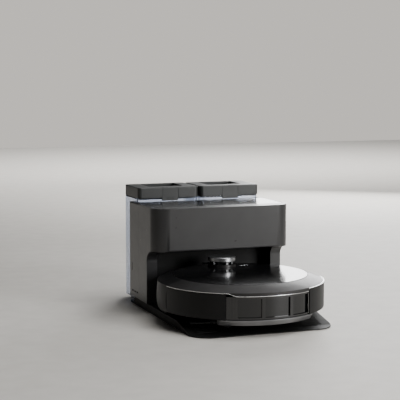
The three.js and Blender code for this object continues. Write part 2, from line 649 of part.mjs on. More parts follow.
// ---- Robot: running gear ------------------------------------------------------------------
function wheel(s) {
  const x = s * WHEEL_X;
  const tyre = new THREE.Shape();
  const lugs = 18;
  for (let i = 0; i < lugs; i += 1) {
    const step = 2 * Math.PI / lugs;
    const root = WHEEL_RADIUS - 1.6;
    const points = [[WHEEL_RADIUS, 0], [WHEEL_RADIUS, 0.55], [root, 0.62], [root, 0.93]];
    for (const [r, t] of points) {
      const angle = (i + t - 0.275) * step - Math.PI / 2;
      if (i === 0 && t === 0) tyre.moveTo(r * Math.cos(angle), r * Math.sin(angle));
      else tyre.lineTo(r * Math.cos(angle), r * Math.sin(angle));
    }
  }
  const body = move(alongX(tyre, x - 11, x + 11), 0, 0, WHEEL_Z);
  const recess = barX(20, x + s * 7, x + s * 12, 0, WHEEL_Z, 20);
  return cut(body, recess, barX(4, x - 20, x + 20, 0, WHEEL_Z, 16));
}

function wheelArm(s) {
  const [pivotY, pivotZ] = ARM_PIVOT;
  const inner = s * 92.5;
  const outer = s * 101;
  const x0 = Math.min(inner, outer);
  const x1 = Math.max(inner, outer);
  const pivotBoss = barX(8, x0, x1, pivotY, pivotZ);
  const axleBoss = barX(10, x0, x1, 0, WHEEL_Z);
  const side = [[pivotY, pivotZ - 6], [0, WHEEL_Z - 7], [0, WHEEL_Z + 7], [pivotY, pivotZ + 6]];
  const link = alongX(side, x0, x1);
  const pivotPin = barX(3.1, s * 84, inner, pivotY, pivotZ);
  const axle = barX(3.6, outer, s * 120, 0, WHEEL_Z);
  return join(pivotBoss, axleBoss, link, pivotPin, axle);
}

for (const [name, s] of bothSides) {
  onRobot(`wheel_arm_${name}`, wheelArm(s), darkGrey());
  onRobot(`wheel_${name}`, wheel(s), rubber());
}

const CASTER = { wheelRadius: 9, trail: 6 };
function casterFork() {
  const stem = disc(6, 42, 62, 16);
  const plate = disc(17, 37.5, 43, 24);
  const z = BASE_TOP + GAP + CASTER.wheelRadius;
  let fork = stem.add(plate);
  for (const [, s] of bothSides) {
    fork = fork.add(box(s * 10.5 - 1.8, s * 10.5 + 1.8, CASTER.trail - 5, CASTER.trail + 5, z - 4, 38));
  }
  return move(fork.add(barX(2, -11, 11, CASTER.trail, z, 12)), 0, CASTER_Y);
}
onRobot('caster_fork', casterFork(), darkGrey());

function casterWheel() {
  const z = BASE_TOP + GAP + CASTER.wheelRadius;
  const roller = barX(CASTER.wheelRadius, -8, 8, CASTER.trail, z, 24);
  return move(roller.subtract(barX(2.4, -9, 9, CASTER.trail, z, 12)), 0, CASTER_Y);
}
onRobot('caster_wheel', casterWheel(), rubber());

// ---- Robot: cleaning gear -----------------------------------------------------------------
function mainBrush() {
  const vanes = 6;
  const outline = [];
  for (let i = 0; i < vanes; i += 1) {
    for (const [r, t] of [[9, 0], [9, 0.34], [BRUSH_RADIUS, 0.42], [BRUSH_RADIUS, 0.56], [9, 0.64]]) {
      const angle = (i + t) * 2 * Math.PI / vanes;
      outline.push([r * Math.cos(angle), r * Math.sin(angle)]);
    }
  }
  return move(alongX(outline, -80, 80), 0, BRUSH_Y, BRUSH_Z);
}
onRobot('main_brush', mainBrush(), bristle());

function sideBrush() {
  let brush = disc(9, 18.9, 27, 16);
  brush = brush.add(disc(4, 26, 44, 12));
  for (let i = 0; i < 3; i += 1) {
    const arm = box(6, 50, -3, 3, 18.9, 20.9);
    brush = brush.add(arm.rotate([0, 0, 45 + i * 120]));
  }
  return move(brush, SIDE_BRUSH_X, SIDE_BRUSH_Y);
}
onRobot('side_brush', sideBrush(), bristle());

const padProfile = [
  [0, 19], [MOP_RADIUS - 3, 19], [MOP_RADIUS, 21.5], [MOP_RADIUS - 1, 26],
  [20, 27], [18, 29.4], [6, 29.4], [6, 46], [0, 46],
];
for (const [name, s] of bothSides) {
  const pad = turned(padProfile, 36);
  onRobot(`mop_pad_${name}`, move(pad, s * MOP_X, MOP_Y), padFabric());
}

// ---- Robot: what it holds -----------------------------------------------------------------
function dustbin() {
  const bin = raise(roundedRectangle(-60, 60, -18, 58, 6), BODY_BOTTOM + GAP, 92);
  return bin.subtract(raise(roundedRectangle(-22, 22, 28, 50, 6), 80, 100));
}
onRobot('dustbin', dustbin(), smokedGlass());
const motor = join(disc(20, BODY_BOTTOM + GAP, 60, 24), disc(14, 59, 84, 24));
onRobot('fan_motor', move(motor, 0, 84), darkGrey());
const cells = raise(roundedRectangle(-75, 75, -96, -66, 5), BODY_BOTTOM + GAP, 78);
onRobot('battery', cells, whitePlastic());
onRobot('main_board', box(-68, 68, -132, -64, 82, 83.6), boardGreen());

export default object;
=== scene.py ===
# %% [markdown]
# # A robot vacuum and mop, parked in its wash-and-empty station
# The real thing is an assembly of injection mouldings: satin charcoal shells, piano black lids, clear tanks,
# a bright edge line, and rubber, brush and cloth where the machine meets the floor. The CAD frame already
# holds every size and joint, so this lesson only makes the surfaces: finer rounds, softened edges, ribs,
# bristles, screws and finishes. All lengths are metres, and `mm` turns millimetres into them.

# %% Load the CAD frame
import collections
import math
import random

import bmesh
import bpy
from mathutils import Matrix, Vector


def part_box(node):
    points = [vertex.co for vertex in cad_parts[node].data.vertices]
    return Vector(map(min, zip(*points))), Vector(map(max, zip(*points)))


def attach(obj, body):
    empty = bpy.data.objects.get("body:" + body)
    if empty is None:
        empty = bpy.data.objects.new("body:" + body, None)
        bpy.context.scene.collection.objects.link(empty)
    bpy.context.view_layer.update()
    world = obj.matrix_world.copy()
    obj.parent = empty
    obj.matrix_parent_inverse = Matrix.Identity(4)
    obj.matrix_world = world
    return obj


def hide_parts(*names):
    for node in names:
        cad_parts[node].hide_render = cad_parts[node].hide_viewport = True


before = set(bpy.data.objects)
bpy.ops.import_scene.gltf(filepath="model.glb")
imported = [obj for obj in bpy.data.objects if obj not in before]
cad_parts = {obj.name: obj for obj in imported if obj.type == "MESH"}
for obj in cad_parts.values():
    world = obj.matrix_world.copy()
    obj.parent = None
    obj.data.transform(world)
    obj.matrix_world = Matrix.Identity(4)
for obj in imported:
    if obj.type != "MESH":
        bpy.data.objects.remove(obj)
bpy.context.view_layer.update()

mm = 0.001

# %% [markdown]
# ## Colours and nodes
# Finishes are picked as sRGB hex values, because that is how a paint chip or a screen names a colour, but
# the renderer adds up light in linear numbers. One function converts them. A second one adds a shader or
# geometry node, sets its properties, and either fills or links each input, which keeps every tree short.

# %% Colour conversion and the node helper
def linear(hex_colour):
    """An sRGB hex colour as linear RGBA."""
    channels = [int(hex_colour[i:i + 2], 16) / 255 for i in (1, 3, 5)]
    return (*[c / 12.92 if c <= 0.04045 else ((c + 0.055) / 1.055) ** 2.4 for c in channels], 1.0)


def add(tree, kind, inputs=None, **settings):
    """A node of that kind, with its properties set and its inputs filled or linked."""
    node = tree.nodes.new(kind)
    for key, value in settings.items():
        setattr(node, key, value)
    for key, value in (inputs or {}).items():
        if isinstance(value, bpy.types.NodeSocket):
            tree.links.new(value, node.inputs[key])
        else:
            node.inputs[key].default_value = value
    return node


# %% [markdown]
# ## Finishes
# Almost every surface here is plastic, so one recipe covers the family: a principled shader whose colour
# drifts a little between two tones, whose roughness varies as handling and mould release leave it, and
# whose bump is the spark-eroded grain of the mould. The grain on such a shell is about 0.3 mm, too fine to
# show at this distance, so it is drawn several times coarser and very shallow.

# %% A moulded plastic
def moulded(name, tones, roughness, grain_mm, depth, coat=0.0, metallic=0.0, ior=1.53, spread=0.06):
    """Injection-moulded plastic: two close tones, uneven gloss and a mould grain."""
    material = bpy.data.materials.new(name)
    material.use_nodes = True
    tree = material.node_tree
    shader = tree.nodes["Principled BSDF"]
    shader.inputs["Metallic"].default_value = metallic
    shader.inputs["IOR"].default_value = ior
    shader.inputs["Coat Weight"].default_value = coat
    shader.inputs["Coat Roughness"].default_value = 0.05
    place = add(tree, "ShaderNodeTexCoord").outputs["Object"]
    cloud = add(tree, "ShaderNodeTexNoise", {"Vector": place, "Scale": 22.0, "Detail": 3.0})
    ramp = add(tree, "ShaderNodeValToRGB", {"Fac": cloud.outputs["Fac"]})
    ramp.color_ramp.elements[0].position = 0.3
    ramp.color_ramp.elements[0].color = linear(tones[0])
    ramp.color_ramp.elements[1].position = 0.7
    ramp.color_ramp.elements[1].color = linear(tones[1])
    tree.links.new(ramp.outputs["Color"], shader.inputs["Base Color"])
    smears = add(tree, "ShaderNodeTexNoise", {"Vector": place, "Scale": 60.0, "Detail": 4.0})
    gloss = add(tree, "ShaderNodeMapRange", {
        "Value": smears.outputs["Fac"],
        "To Min": max(roughness - spread, 0.02), "To Max": roughness + spread})
    tree.links.new(gloss.outputs["Result"], shader.inputs["Roughness"])
    grain = add(tree, "ShaderNodeTexNoise", {"Vector": place, "Scale": 1 / (grain_mm * mm), "Detail": 2.0})
    bump = add(tree, "ShaderNodeBump", {
        "Height": grain.outputs["Fac"], "Strength": 0.5, "Distance": depth * mm})
    tree.links.new(bump.outputs["Normal"], shader.inputs["Normal"])
    return material


# The station's shell: a soft, even sheen that shades gently round the big corners.
satin_charcoal_abs = moulded("satin_charcoal_abs", ("#29292a", "#303031"), 0.30, 1.6, 0.05)
# Painted shade: the garage lining, the seam faces and the vent walls are the shells' own moulding, painted
# near-black for the shade they lie in, so the opening reads as deep.
painted_shade_black_abs = moulded("painted_shade_black_abs", ("#050505", "#090909"), 0.6, 1.6, 0.08, ior=1.4)
# The base and chassis: a coarse, dull black that looks tough and hides scuffs.
textured_black_pp = moulded("textured_black_polypropylene", ("#0a0a09", "#100f0e"), 0.6, 1.4, 0.16, ior=1.4)
# The robot's round cover: a mirror-like black that draws the light in a clean streak.
piano_black_abs = moulded("piano_black_abs", ("#0c0c0d", "#111113"), 0.16, 3.0, 0.004, coat=0.3, spread=0.03)
# The station's covers: smooth enough for one broad, blurred reflection of the wall.
satin_black_abs = moulded("satin_black_abs", ("#262729", "#2e2f31"), 0.2, 3.0, 0.01, coat=0.2, spread=0.04)
# The bumper and rear shell: a quiet near-black that lets the bright edge line stand out.
dark_satin_abs = moulded("dark_satin_abs", ("#0b0b0c", "#111112"), 0.42, 1.6, 0.05, ior=1.33)
# The tank lids and latches: a shade lighter and duller than the shell in front of them.
lid_grey_abs = moulded("lid_grey_abs", ("#272928", "#2f3130"), 0.40, 1.6, 0.05)
# Inner pieces, the bottle, tubes and floats: clean and bright where a cover opens.
white_abs = moulded("white_abs", ("#dadad6", "#e4e4e0"), 0.45, 1.6, 0.05)
# Tyres, feet and brush vanes: dusty and flat, with no highlight to speak of.
black_rubber = moulded("moulded_black_rubber", ("#141414", "#1d1c1b"), 0.82, 0.9, 0.2, ior=1.5)
# Bristles: thin dark grey rods that catch light only along their sides.
grey_nylon = moulded("grey_nylon_bristle", ("#1c1d1f", "#2c2e31"), 0.6, 0.8, 0.05)
# The deck's ring: metal flake under lacquer, lighter where it faces the light.
metallic_paint = moulded("metallic_dark_paint", ("#353434", "#403f3f"), 0.42, 0.9, 0.03,
                         coat=0.1, metallic=0.8)
# The lip under the bumper: one pale satin line above its own shadow.
silver_paint = moulded("satin_silver_paint", ("#6c6c6d", "#7e7e7f"), 0.34, 0.9, 0.03, coat=0.3, metallic=0.5)
print("plastics:", len(bpy.data.materials))

# %% [markdown]
# Metal pieces are few: the bright edge line, the turret's cap, contacts, screws and the rod. Brushed metal
# gets its look from very fine scratches that all run one way. On a turned cap the scratches are circles
# round its axis, so a wave of rings centred on that axis drives both bump and roughness.

# %% Brushed and polished metal
def metal(name, tone, roughness, ring_centre=None, scratch_mm=0.8):
    """Metal with fine scratches: circles round a vertical axis, or straight lines along X."""
    material = bpy.data.materials.new(name)
    material.use_nodes = True
    tree = material.node_tree
    shader = tree.nodes["Principled BSDF"]
    shader.inputs["Metallic"].default_value = 1.0
    place = add(tree, "ShaderNodeTexCoord").outputs["Object"]
    centre = ring_centre or (0.0, 0.0, 0.0)
    shifted = add(tree, "ShaderNodeMapping", {"Vector": place, "Location": tuple(-c for c in centre)})
    lines = add(tree, "ShaderNodeTexWave", {
        "Vector": shifted.outputs["Vector"], "Scale": 0.05 / (scratch_mm * mm), "Distortion": 1.5,
        "Detail": 3.0}, wave_type="RINGS" if ring_centre else "BANDS")
    if ring_centre:
        lines.rings_direction = "Z"
    else:
        lines.bands_direction = "Z"
    drift = add(tree, "ShaderNodeTexNoise", {"Vector": place, "Scale": 90.0, "Detail": 3.0})
    ramp = add(tree, "ShaderNodeValToRGB", {"Fac": drift.outputs["Fac"]})
    ramp.color_ramp.elements[0].color = linear(tone[0])
    ramp.color_ramp.elements[1].color = linear(tone[1])
    tree.links.new(ramp.outputs["Color"], shader.inputs["Base Color"])
    gloss = add(tree, "ShaderNodeMapRange", {
        "Value": lines.outputs["Fac"], "To Min": roughness * 0.8, "To Max": roughness * 1.3})
    tree.links.new(gloss.outputs["Result"], shader.inputs["Roughness"])
    bump = add(tree, "ShaderNodeBump", {
        "Height": lines.outputs["Fac"], "Strength": 0.2, "Distance": 0.02 * mm})
    tree.links.new(bump.outputs["Normal"], shader.inputs["Normal"])
    return material


turret_low, turret_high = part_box("lidar_cap")
turret = (turret_low + turret_high) / 2
# The turret's cap: circular scratches that spread a highlight into a bright fan.
brushed_turret = metal("brushed_aluminium_turret", ("#a4a5a7", "#c0c1c3"), 0.42, tuple(turret))
# The edge line, and the window strip that stands in for a highlight: a thin mirror that is either white or
# black.
bright_chrome = metal("bright_chrome_plating", ("#d9dadb", "#f0f0f0"), 0.14)
# Contacts, screws, rod and start key: a cool, straight-grained glint.
brushed_steel = metal("brushed_steel", ("#9a9c9f", "#bcbec1"), 0.28)

# %% [markdown]
# The tanks are clear polycarbonate with a slight blue, frosted a little inside by use. Real light passes
# through, so the shader transmits most of it and the wall thickness comes from the mesh. The windows of
# the robot are the opposite: smoked acrylic that only looks clear to infrared, so they are glossy black.

# %% Clear and smoked plastics
def clear_plastic(name, tint, roughness, transmission):
    """Clear moulded plastic with faint flow marks."""
    material = moulded(name, tint, roughness, 4.0, 0.01, ior=1.58, spread=0.05)
    material.node_tree.nodes["Principled BSDF"].inputs["Transmission Weight"].default_value = transmission
    return material


# The tanks: a pale blue veil that shows the tubes and floats only as shadows.
tank_polycarbonate = clear_plastic("clear_blue_polycarbonate", ("#dce5f8", "#edf2fc"), 0.12, 0.94)
# Sensor panes and scanner: deeper and sharper than the plastic round them.
smoked_acrylic = moulded("smoked_acrylic", ("#08090a", "#0c0d0f"), 0.06, 5.0, 0.003,
                         coat=0.2, ior=1.49, spread=0.02)

# %% [markdown]
# Cloth and circuit boards are the last finishes. Mop microfibre is tufted, so its bump is a cell pattern
# about 2 mm across over fine noise. The dust bag is pressed, non-woven paper cloth with random fibres. The
# boards are green solder mask over straight copper tracks, which a brick pattern imitates.

# %% Cloth and circuit board
def cloth(name, tones, tuft_mm, depth):
    """Rough fabric whose bump is tufts with fibre noise over them."""
    material = moulded(name, tones, 0.9, 0.6, 0.2, spread=0.05)
    tree = material.node_tree
    shader = tree.nodes["Principled BSDF"]
    shader.inputs["Sheen Weight"].default_value = 0.4
    shader.inputs["Sheen Roughness"].default_value = 0.5
    place = add(tree, "ShaderNodeTexCoord").outputs["Object"]
    tufts = add(tree, "ShaderNodeTexVoronoi", {"Vector": place, "Scale": 1 / (tuft_mm * mm)})
    fine = tree.nodes["Bump"]
    bump = add(tree, "ShaderNodeBump", {
        "Height": tufts.outputs["Distance"], "Strength": 0.8, "Distance": depth * mm,
        "Normal": fine.outputs["Normal"]}, invert=True)
    tree.links.new(bump.outputs["Normal"], shader.inputs["Normal"])
    return material


def board(name):
    """Green solder mask over copper tracks."""
    material = bpy.data.materials.new(name)
    material.use_nodes = True
    tree = material.node_tree
    shader = tree.nodes["Principled BSDF"]
    shader.inputs["Roughness"].default_value = 0.35
    place = add(tree, "ShaderNodeTexCoord").outputs["Object"]
    tracks = add(tree, "ShaderNodeTexBrick", {
        "Vector": place, "Color1": linear("#124a2b"), "Color2": linear("#185c37"),
        "Mortar": linear("#2f8a55"), "Scale": 60.0, "Mortar Size": 0.02})
    tree.links.new(tracks.outputs["Color"], shader.inputs["Base Color"])
    bump = add(tree, "ShaderNodeBump", {
        "Height": tracks.outputs["Fac"], "Strength": 0.4, "Distance": 0.1 * mm})
    tree.links.new(bump.outputs["Normal"], shader.inputs["Normal"])
    return material


# The mop pads: blue-grey tufts with a soft bloom at the edge.
mop_microfibre = cloth("mop_microfibre", ("#4c5763", "#6a7683"), 2.2, 0.8)
# The dust bag: warm white pressed cloth that shows its creases.
bag_nonwoven = cloth("nonwoven_bag_cloth", ("#d9d4c6", "#ebe7dc"), 1.2, 0.3)
# The boards: green with lighter tracks, seen only through the open bays.
circuit_board = board("circuit_board")
print("finishes:", len(bpy.data.materials))

# %% [markdown]
# ## Outlines, prisms and turned shapes
# Shells like these are drawn the way a toolmaker draws them: an outline pushed along an axis, or a profile
# turned about one, then cuts. The shapes are drawn in millimetres, read off the frame, and become metres
# when the mesh is made. A prism or a turned ring is a closed mesh, so one can be cut from another.

# %% Sizes read from the frame, in millimetres
Box = collections.namedtuple("Box", "x0 y0 z0 x1 y1 z1")


def extent(*nodes):
    """The box round some CAD nodes, in millimetres."""
    corners = [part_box(node) for node in nodes]
    low = [min(c[0][i] for c in corners) / mm for i in range(3)]
    high = [max(c[1][i] for c in corners) / mm for i in range(3)]
    return Box(*[round(v, 2) for v in (*low, *high)])


# %% Outline helpers
def arc(cx, cy, radius, start, end, steps=12, radius_y=None):
    """Points on an arc, from start to end degrees, both included."""
    ry = radius if radius_y is None else radius_y
    angles = [math.radians(start + (end - start) * i / steps) for i in range(steps + 1)]
    return [(cx + radius * math.cos(a), cy + ry * math.sin(a)) for a in angles]


def rounded(x0, x1, y0, y1, radii, steps=12):
    """A rectangle with its own radius at x0y0, x1y0, x1y1 and x0y1."""
    a, b, c, d = radii if isinstance(radii, tuple) else (radii,) * 4
    corners = [(x0 + a, y0 + a, a, 180), (x1 - b, y0 + b, b, 270),
               (x1 - c, y1 - c, c, 0), (x0 + d, y1 - d, d, 90)]
    points = []
    for cx, cy, r, start in corners:
        points += arc(cx, cy, r, start, start + 90, steps) if r > 0 else [(cx, cy)]
    return points


def circle(cx, cy, radius, steps=48):
    return arc(cx, cy, radius, 0, 360, steps)[:-1]


# %% Meshes from outlines
def piece_from(name, verts, faces):
    """A new object at the origin from points in millimetres, with doubles merged and faces outwards."""
    mesh = bpy.data.meshes.new(name)
    mesh.from_pydata([[c * mm for c in v] for v in verts], [], faces)
    work = bmesh.new()
    work.from_mesh(mesh)
    bmesh.ops.remove_doubles(work, verts=work.verts, dist=1e-6)
    bmesh.ops.recalc_face_normals(work, faces=work.faces)
    work.to_mesh(mesh)
    work.free()
    piece = bpy.data.objects.new(name, mesh)
    bpy.context.scene.collection.objects.link(piece)
    return piece


PLANES = {"z": lambda u, v, w: (u, v, w), "y": lambda u, v, w: (u, w, v), "x": lambda u, v, w: (w, u, v)}


def prism(name, outline, low, high, along="z"):
    """An outline pushed along an axis. Along z it is in x and y, along y in x and z, along x in y and z."""
    at = PLANES[along]
    n = len(outline)
    verts = [at(u, v, low) for u, v in outline] + [at(u, v, high) for u, v in outline]
    sides = [(i, (i + 1) % n, n + (i + 1) % n, n + i) for i in range(n)]
    return piece_from(name, verts, sides + [tuple(reversed(range(n))), tuple(range(n, 2 * n))])


def block(name, x0, x1, y0, y1, z0, z1):
    return prism(name, rounded(x0, x1, y0, y1, 0), z0, z1)


def turned(name, profile, centre=(0, 0), steps=256, along="z"):
    """A profile of (radius, height) points that closes on itself, turned about an axis through centre."""
    at = PLANES[along]
    n = len(profile)
    angles = [2 * math.pi * i / steps for i in range(steps)]
    verts = [at(centre[0] + r * math.cos(a), centre[1] + r * math.sin(a), h)
             for a in angles for r, h in profile]
    faces = []
    for i in range(steps):
        k = (i + 1) % steps
        for j in range(n):
            m = (j + 1) % n
            faces.append((i * n + j, k * n + j, k * n + m, i * n + m))
    return piece_from(name, verts, faces)


# %% [markdown]
# A boolean or a bevel is a modifier. Once a shape is right, its modifiers are settled: the evaluated mesh is
# taken as the real one and the stack is emptied. Every edge of a real moulding has a small radius, and that
# radius is what catches the light, so each piece is bevelled last. Weighted normals then keep the large
# flats flat while the small rounds stay smooth.

# %% Cutting, joining and softening
def settle(piece):
    """Takes the evaluated mesh as the piece's own, and empties its modifiers."""
    graph = bpy.context.evaluated_depsgraph_get()
    graph.update()
    mesh = bpy.data.meshes.new_from_object(
        piece.evaluated_get(graph), preserve_all_data_layers=True, depsgraph=graph)
    piece.modifiers.clear()
    piece.data = mesh
    return piece


def combine(piece, others, operation):
    """Cuts, joins or intersects a piece with others, which are used up."""
    for other in others:
        step = piece.modifiers.new("combine", "BOOLEAN")
        step.operation = operation
        step.solver = "EXACT"
        step.object = other
    settle(piece)
    for other in others:
        bpy.data.objects.remove(other)
    return piece


def cut(piece, *others):
    return combine(piece, others, "DIFFERENCE")


def join(piece, *others):
    return combine(piece, others, "UNION")


def within(piece, *others):
    return combine(piece, others, "INTERSECT")


def bevel(piece, radius, segments=2, angle=32):
    """Rounds the edges that are sharper than an angle, by a radius in millimetres."""
    work = bmesh.new()
    work.from_mesh(piece.data)
    bmesh.ops.remove_doubles(work, verts=work.verts, dist=2e-6)
    bmesh.ops.dissolve_limit(work, angle_limit=math.radians(0.3), verts=work.verts, edges=work.edges)
    work.to_mesh(piece.data)
    work.free()
    step = piece.modifiers.new("radius", "BEVEL")
    step.width = radius * mm
    step.segments = segments
    step.limit_method = "ANGLE"
    step.angle_limit = math.radians(angle)
    step.miter_outer = "MITER_ARC"
    return settle(piece)


def smooth(piece, angle=50):
    """Smooth rounds and flat flats, with normals weighted by face area."""
    piece.data.shade_smooth()
    piece.data.set_sharp_from_angle(angle=math.radians(angle))
    weigh = piece.modifiers.new("normals", "WEIGHTED_NORMAL")
    weigh.keep_sharp = True
    return settle(piece)


def finished(piece, material, body, nodes=()):
    """Smooths a piece, gives it its material and body, and hides the CAD nodes it stands for."""
    smooth(piece)
    piece.data.materials.clear()
    piece.data.materials.append(material)
    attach(piece, body)
    if nodes:
        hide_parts(*nodes)
    print(f"{piece.name}: {len(piece.data.polygons)} faces")
    return piece


def refined(node, name, radius=0.5, segments=2):
    """A merged copy of a CAD node's mesh, with its flat faces made whole and its edges rounded."""
    piece = bpy.data.objects.new(name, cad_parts[node].data.copy())
    bpy.context.scene.collection.objects.link(piece)
    work = bmesh.new()
    work.from_mesh(piece.data)
    bmesh.ops.remove_doubles(work, verts=work.verts, dist=1e-6)
    bmesh.ops.dissolve_limit(work, angle_limit=math.radians(1), verts=work.verts, edges=work.edges)
    work.to_mesh(piece.data)
    work.free()
    for layer in list(piece.data.attributes):
        if layer.name.startswith("custom_normal"):
            piece.data.attributes.remove(layer)
    return bevel(piece, radius, segments)


# %% [markdown]
# ## Geometry Nodes for what repeats
# Screws, grip ribs, tyre lugs, bristles and mop loops repeat dozens to thousands of times. Each is grown by a
# node tree: a seed mesh gives the places, the tree puts one small shape on every place, and named inputs
# hold the sizes, so one tree serves many pieces. The result is realised and turned into a plain mesh.

# %% Making and using a tree
def new_tree(name, sizes):
    """A tree with a geometry input, named size inputs and a material, and its input and output nodes."""
    tree = bpy.data.node_groups.new(name, "GeometryNodeTree")
    tree.interface.new_socket("Seed mesh", in_out="INPUT", socket_type="NodeSocketGeometry")
    tree.interface.new_socket("Result", in_out="OUTPUT", socket_type="NodeSocketGeometry")
    for label, value in sizes.items():
        kind = {float: "Float", int: "Int", tuple: "Vector"}[type(value)]
        socket = tree.interface.new_socket(label, in_out="INPUT", socket_type="NodeSocket" + kind)
        socket.default_value = value
    tree.interface.new_socket("Finish", in_out="INPUT", socket_type="NodeSocketMaterial")
    return tree, add(tree, "NodeGroupInput").outputs


def close_tree(tree, given, geometry):
    """Ends a tree: instances made real, material set, and out."""
    real = add(tree, "GeometryNodeRealizeInstances", {"Geometry": geometry})
    done = add(tree, "GeometryNodeSetMaterial", {"Geometry": real.outputs[0], "Material": given["Finish"]})
    add(tree, "NodeGroupOutput", {"Result": done.outputs[0]})
    return tree


def grown(name, bed, tree, material, **sizes):
    """A plain mesh grown by a tree on a bed of (points, faces), in millimetres."""
    mesh = bpy.data.meshes.new(name)
    mesh.from_pydata([[c * mm for c in v] for v in bed[0]], [], bed[1])
    piece = bpy.data.objects.new(name, mesh)
    bpy.context.scene.collection.objects.link(piece)
    grow = piece.modifiers.new("grow", "NODES")
    grow.node_group = tree
    wanted = {key.replace("_", " ").capitalize(): value for key, value in sizes.items()}
    wanted["Finish"] = material
    for item in tree.interface.items_tree:
        if item.in_out == "INPUT" and item.name in wanted:
            grow[item.identifier] = wanted.pop(item.name)
    if wanted:
        raise ValueError(f"{tree.name} has no input {sorted(wanted)}")
    return settle(piece)


# %% Screws: a domed head with a cross recess on every seed point
def screw_tree():
    tree, given = new_tree("screws", {
        "Head radius": 2.6 * mm, "Head height": 1.4 * mm, "Direction": (0.0, 0.0, 1.0)})
    head = add(tree, "GeometryNodeMeshCylinder", {
        "Vertices": 24, "Radius": given["Head radius"], "Depth": given["Head height"]})
    span = add(tree, "ShaderNodeMath", {0: given["Head radius"], 1: 1.3}, operation="MULTIPLY")
    slot_width = add(tree, "ShaderNodeMath", {0: given["Head radius"], 1: 0.3}, operation="MULTIPLY")
    lift = add(tree, "ShaderNodeMath", {0: given["Head height"], 1: 0.5}, operation="MULTIPLY")
    cuts = []
    for along, across in ((span, slot_width), (slot_width, span)):
        size = add(tree, "ShaderNodeCombineXYZ", {
            0: along.outputs[0], 1: across.outputs[0], 2: given["Head height"]})
        bar = add(tree, "GeometryNodeMeshCube", {"Size": size.outputs[0]})
        up = add(tree, "ShaderNodeCombineXYZ", {2: lift.outputs[0]})
        cuts.append(add(tree, "GeometryNodeTransform", {
            "Geometry": bar.outputs["Mesh"], "Translation": up.outputs[0]}).outputs[0])
    slotted = add(tree, "GeometryNodeMeshBoolean", {"Mesh 1": head.outputs["Mesh"]}, operation="DIFFERENCE")
    for geometry in cuts:
        tree.links.new(geometry, slotted.inputs["Mesh 2"])
    turn = add(tree, "FunctionNodeAlignRotationToVector", {"Vector": given["Direction"]}, axis="Z")
    placed = add(tree, "GeometryNodeInstanceOnPoints", {
        "Points": given["Seed mesh"], "Instance": slotted.outputs[0], "Rotation": turn.outputs[0]})
    return close_tree(tree, given, placed.outputs[0])


SCREWS = screw_tree()


def screws(name, places, direction, body, head_radius=2.6):
    """Steel screws whose heads are centred on the places given and face one direction."""
    piece = grown(name, (places, []), SCREWS, brushed_steel,
                  head_radius=head_radius * mm, direction=direction)
    return finished(piece, brushed_steel, body)


# %% Bars: rounded ribs or lugs laid at every seed point
def bar_tree():
    tree, given = new_tree("bars", {"Size": (0.01, 0.001, 0.001), "Turn": (0.0, 0.0, 0.0)})
    bar = add(tree, "GeometryNodeMeshCylinder", {"Vertices": 16, "Radius": 0.5, "Depth": 1.0})
    lying = add(tree, "GeometryNodeTransform", {
        "Geometry": bar.outputs["Mesh"], "Rotation": (0.0, math.pi / 2, 0.0)})
    sized = add(tree, "GeometryNodeTransform", {"Geometry": lying.outputs[0], "Scale": given["Size"]})
    turn = add(tree, "FunctionNodeEulerToRotation", {0: given["Turn"]})
    placed = add(tree, "GeometryNodeInstanceOnPoints", {
        "Points": given["Seed mesh"], "Instance": sized.outputs[0], "Rotation": turn.outputs[0]})
    return close_tree(tree, given, placed.outputs[0])


BARS = bar_tree()
print("trees:", [tree.name for tree in bpy.data.node_groups])

# %% [markdown]
# ## The station's base
# The base is one black polypropylene moulding: a thin ramp in front, a step for the tanks behind, and a
# recess for the wash tray. It is drawn as its plan pushed upwards, kept only where its side view is solid.
# The ramp has raised ribs in the two wheel tracks, so that wet tyres still climb it.

# %% Base plate
GAP = 0.3
base = extent("base_plate")
tray = extent("wash_tray")
shell = extent("front_shell")
housing = extent("rear_housing")
tank_box = extent("clean_tank")
RAMP_TOP_Y = -130
RAMP_FOOT_Y = -206
RAMP_FOOT_Z = 3.2
RAMP_LIP_Z = 2.6
LEDGE_Z = tank_box.z0 - GAP
LEDGE_Y = 156.7
LEDGE_HALF = 138
BASE_CORNER = 45
TRAY_REST = 6            # the tray rests on a rim this wide, round an open middle
PAST_TOP = 40            # above the base, for blocks that cut right through it
POCKET_PITCH = 49


def base_plate():
    side = [(base.y0, base.z0), (base.y1, base.z0), (base.y1, LEDGE_Z), (LEDGE_Y, LEDGE_Z),
            (LEDGE_Y, base.z1), (RAMP_TOP_Y, base.z1), (RAMP_FOOT_Y, RAMP_FOOT_Z), (base.y0, RAMP_LIP_Z)]
    # The plan: wide in front, narrower behind the side panels.
    wide = rounded(base.x0, base.x1, base.y0, housing.y1, (BASE_CORNER, BASE_CORNER, 0, 0), 24)
    narrow = rounded(-LEDGE_HALF, LEDGE_HALF, housing.y1, base.y1, (0, 0, 20, 20), 12)
    plan = [*wide[:-1], *narrow[1:], (-LEDGE_HALF, housing.y1), wide[-1]]
    plate = prism("base_moulding", plan, 0, PAST_TOP)
    within(plate, prism("side", side, base.x0 - 1, base.x1 + 1, "x"))
    recess = rounded(tray.x0 - GAP, tray.x1 + GAP, tray.y0 - GAP, tray.y1 + GAP, 14)
    cut(plate, prism("recess", recess, tray.z0 - GAP, PAST_TOP))
    rest = TRAY_REST - GAP
    middle_of_tray = rounded(tray.x0 + rest, tray.x1 - rest, tray.y0 + rest, tray.y1 - rest, 8)
    cut(plate, prism("open", middle_of_tray, 0, PAST_TOP))
    for node in FEET:
        foot = extent(node)
        cut(plate, turned("well", [(0, 0), (10.3, 0), (10.3, 2.4), (0, 2.4)], middle(foot), 48))
    for column in range(6):
        x = (column - 2.5) * POCKET_PITCH
        for y in (62, -128):
            cut(plate, prism("pocket", rounded(x - 23, x + 23, y, y + 44, 3, 4), 0, base.z1 - 3))
    return finished(bevel(plate, 0.7), textured_black_pp, "station", ["base_plate"])


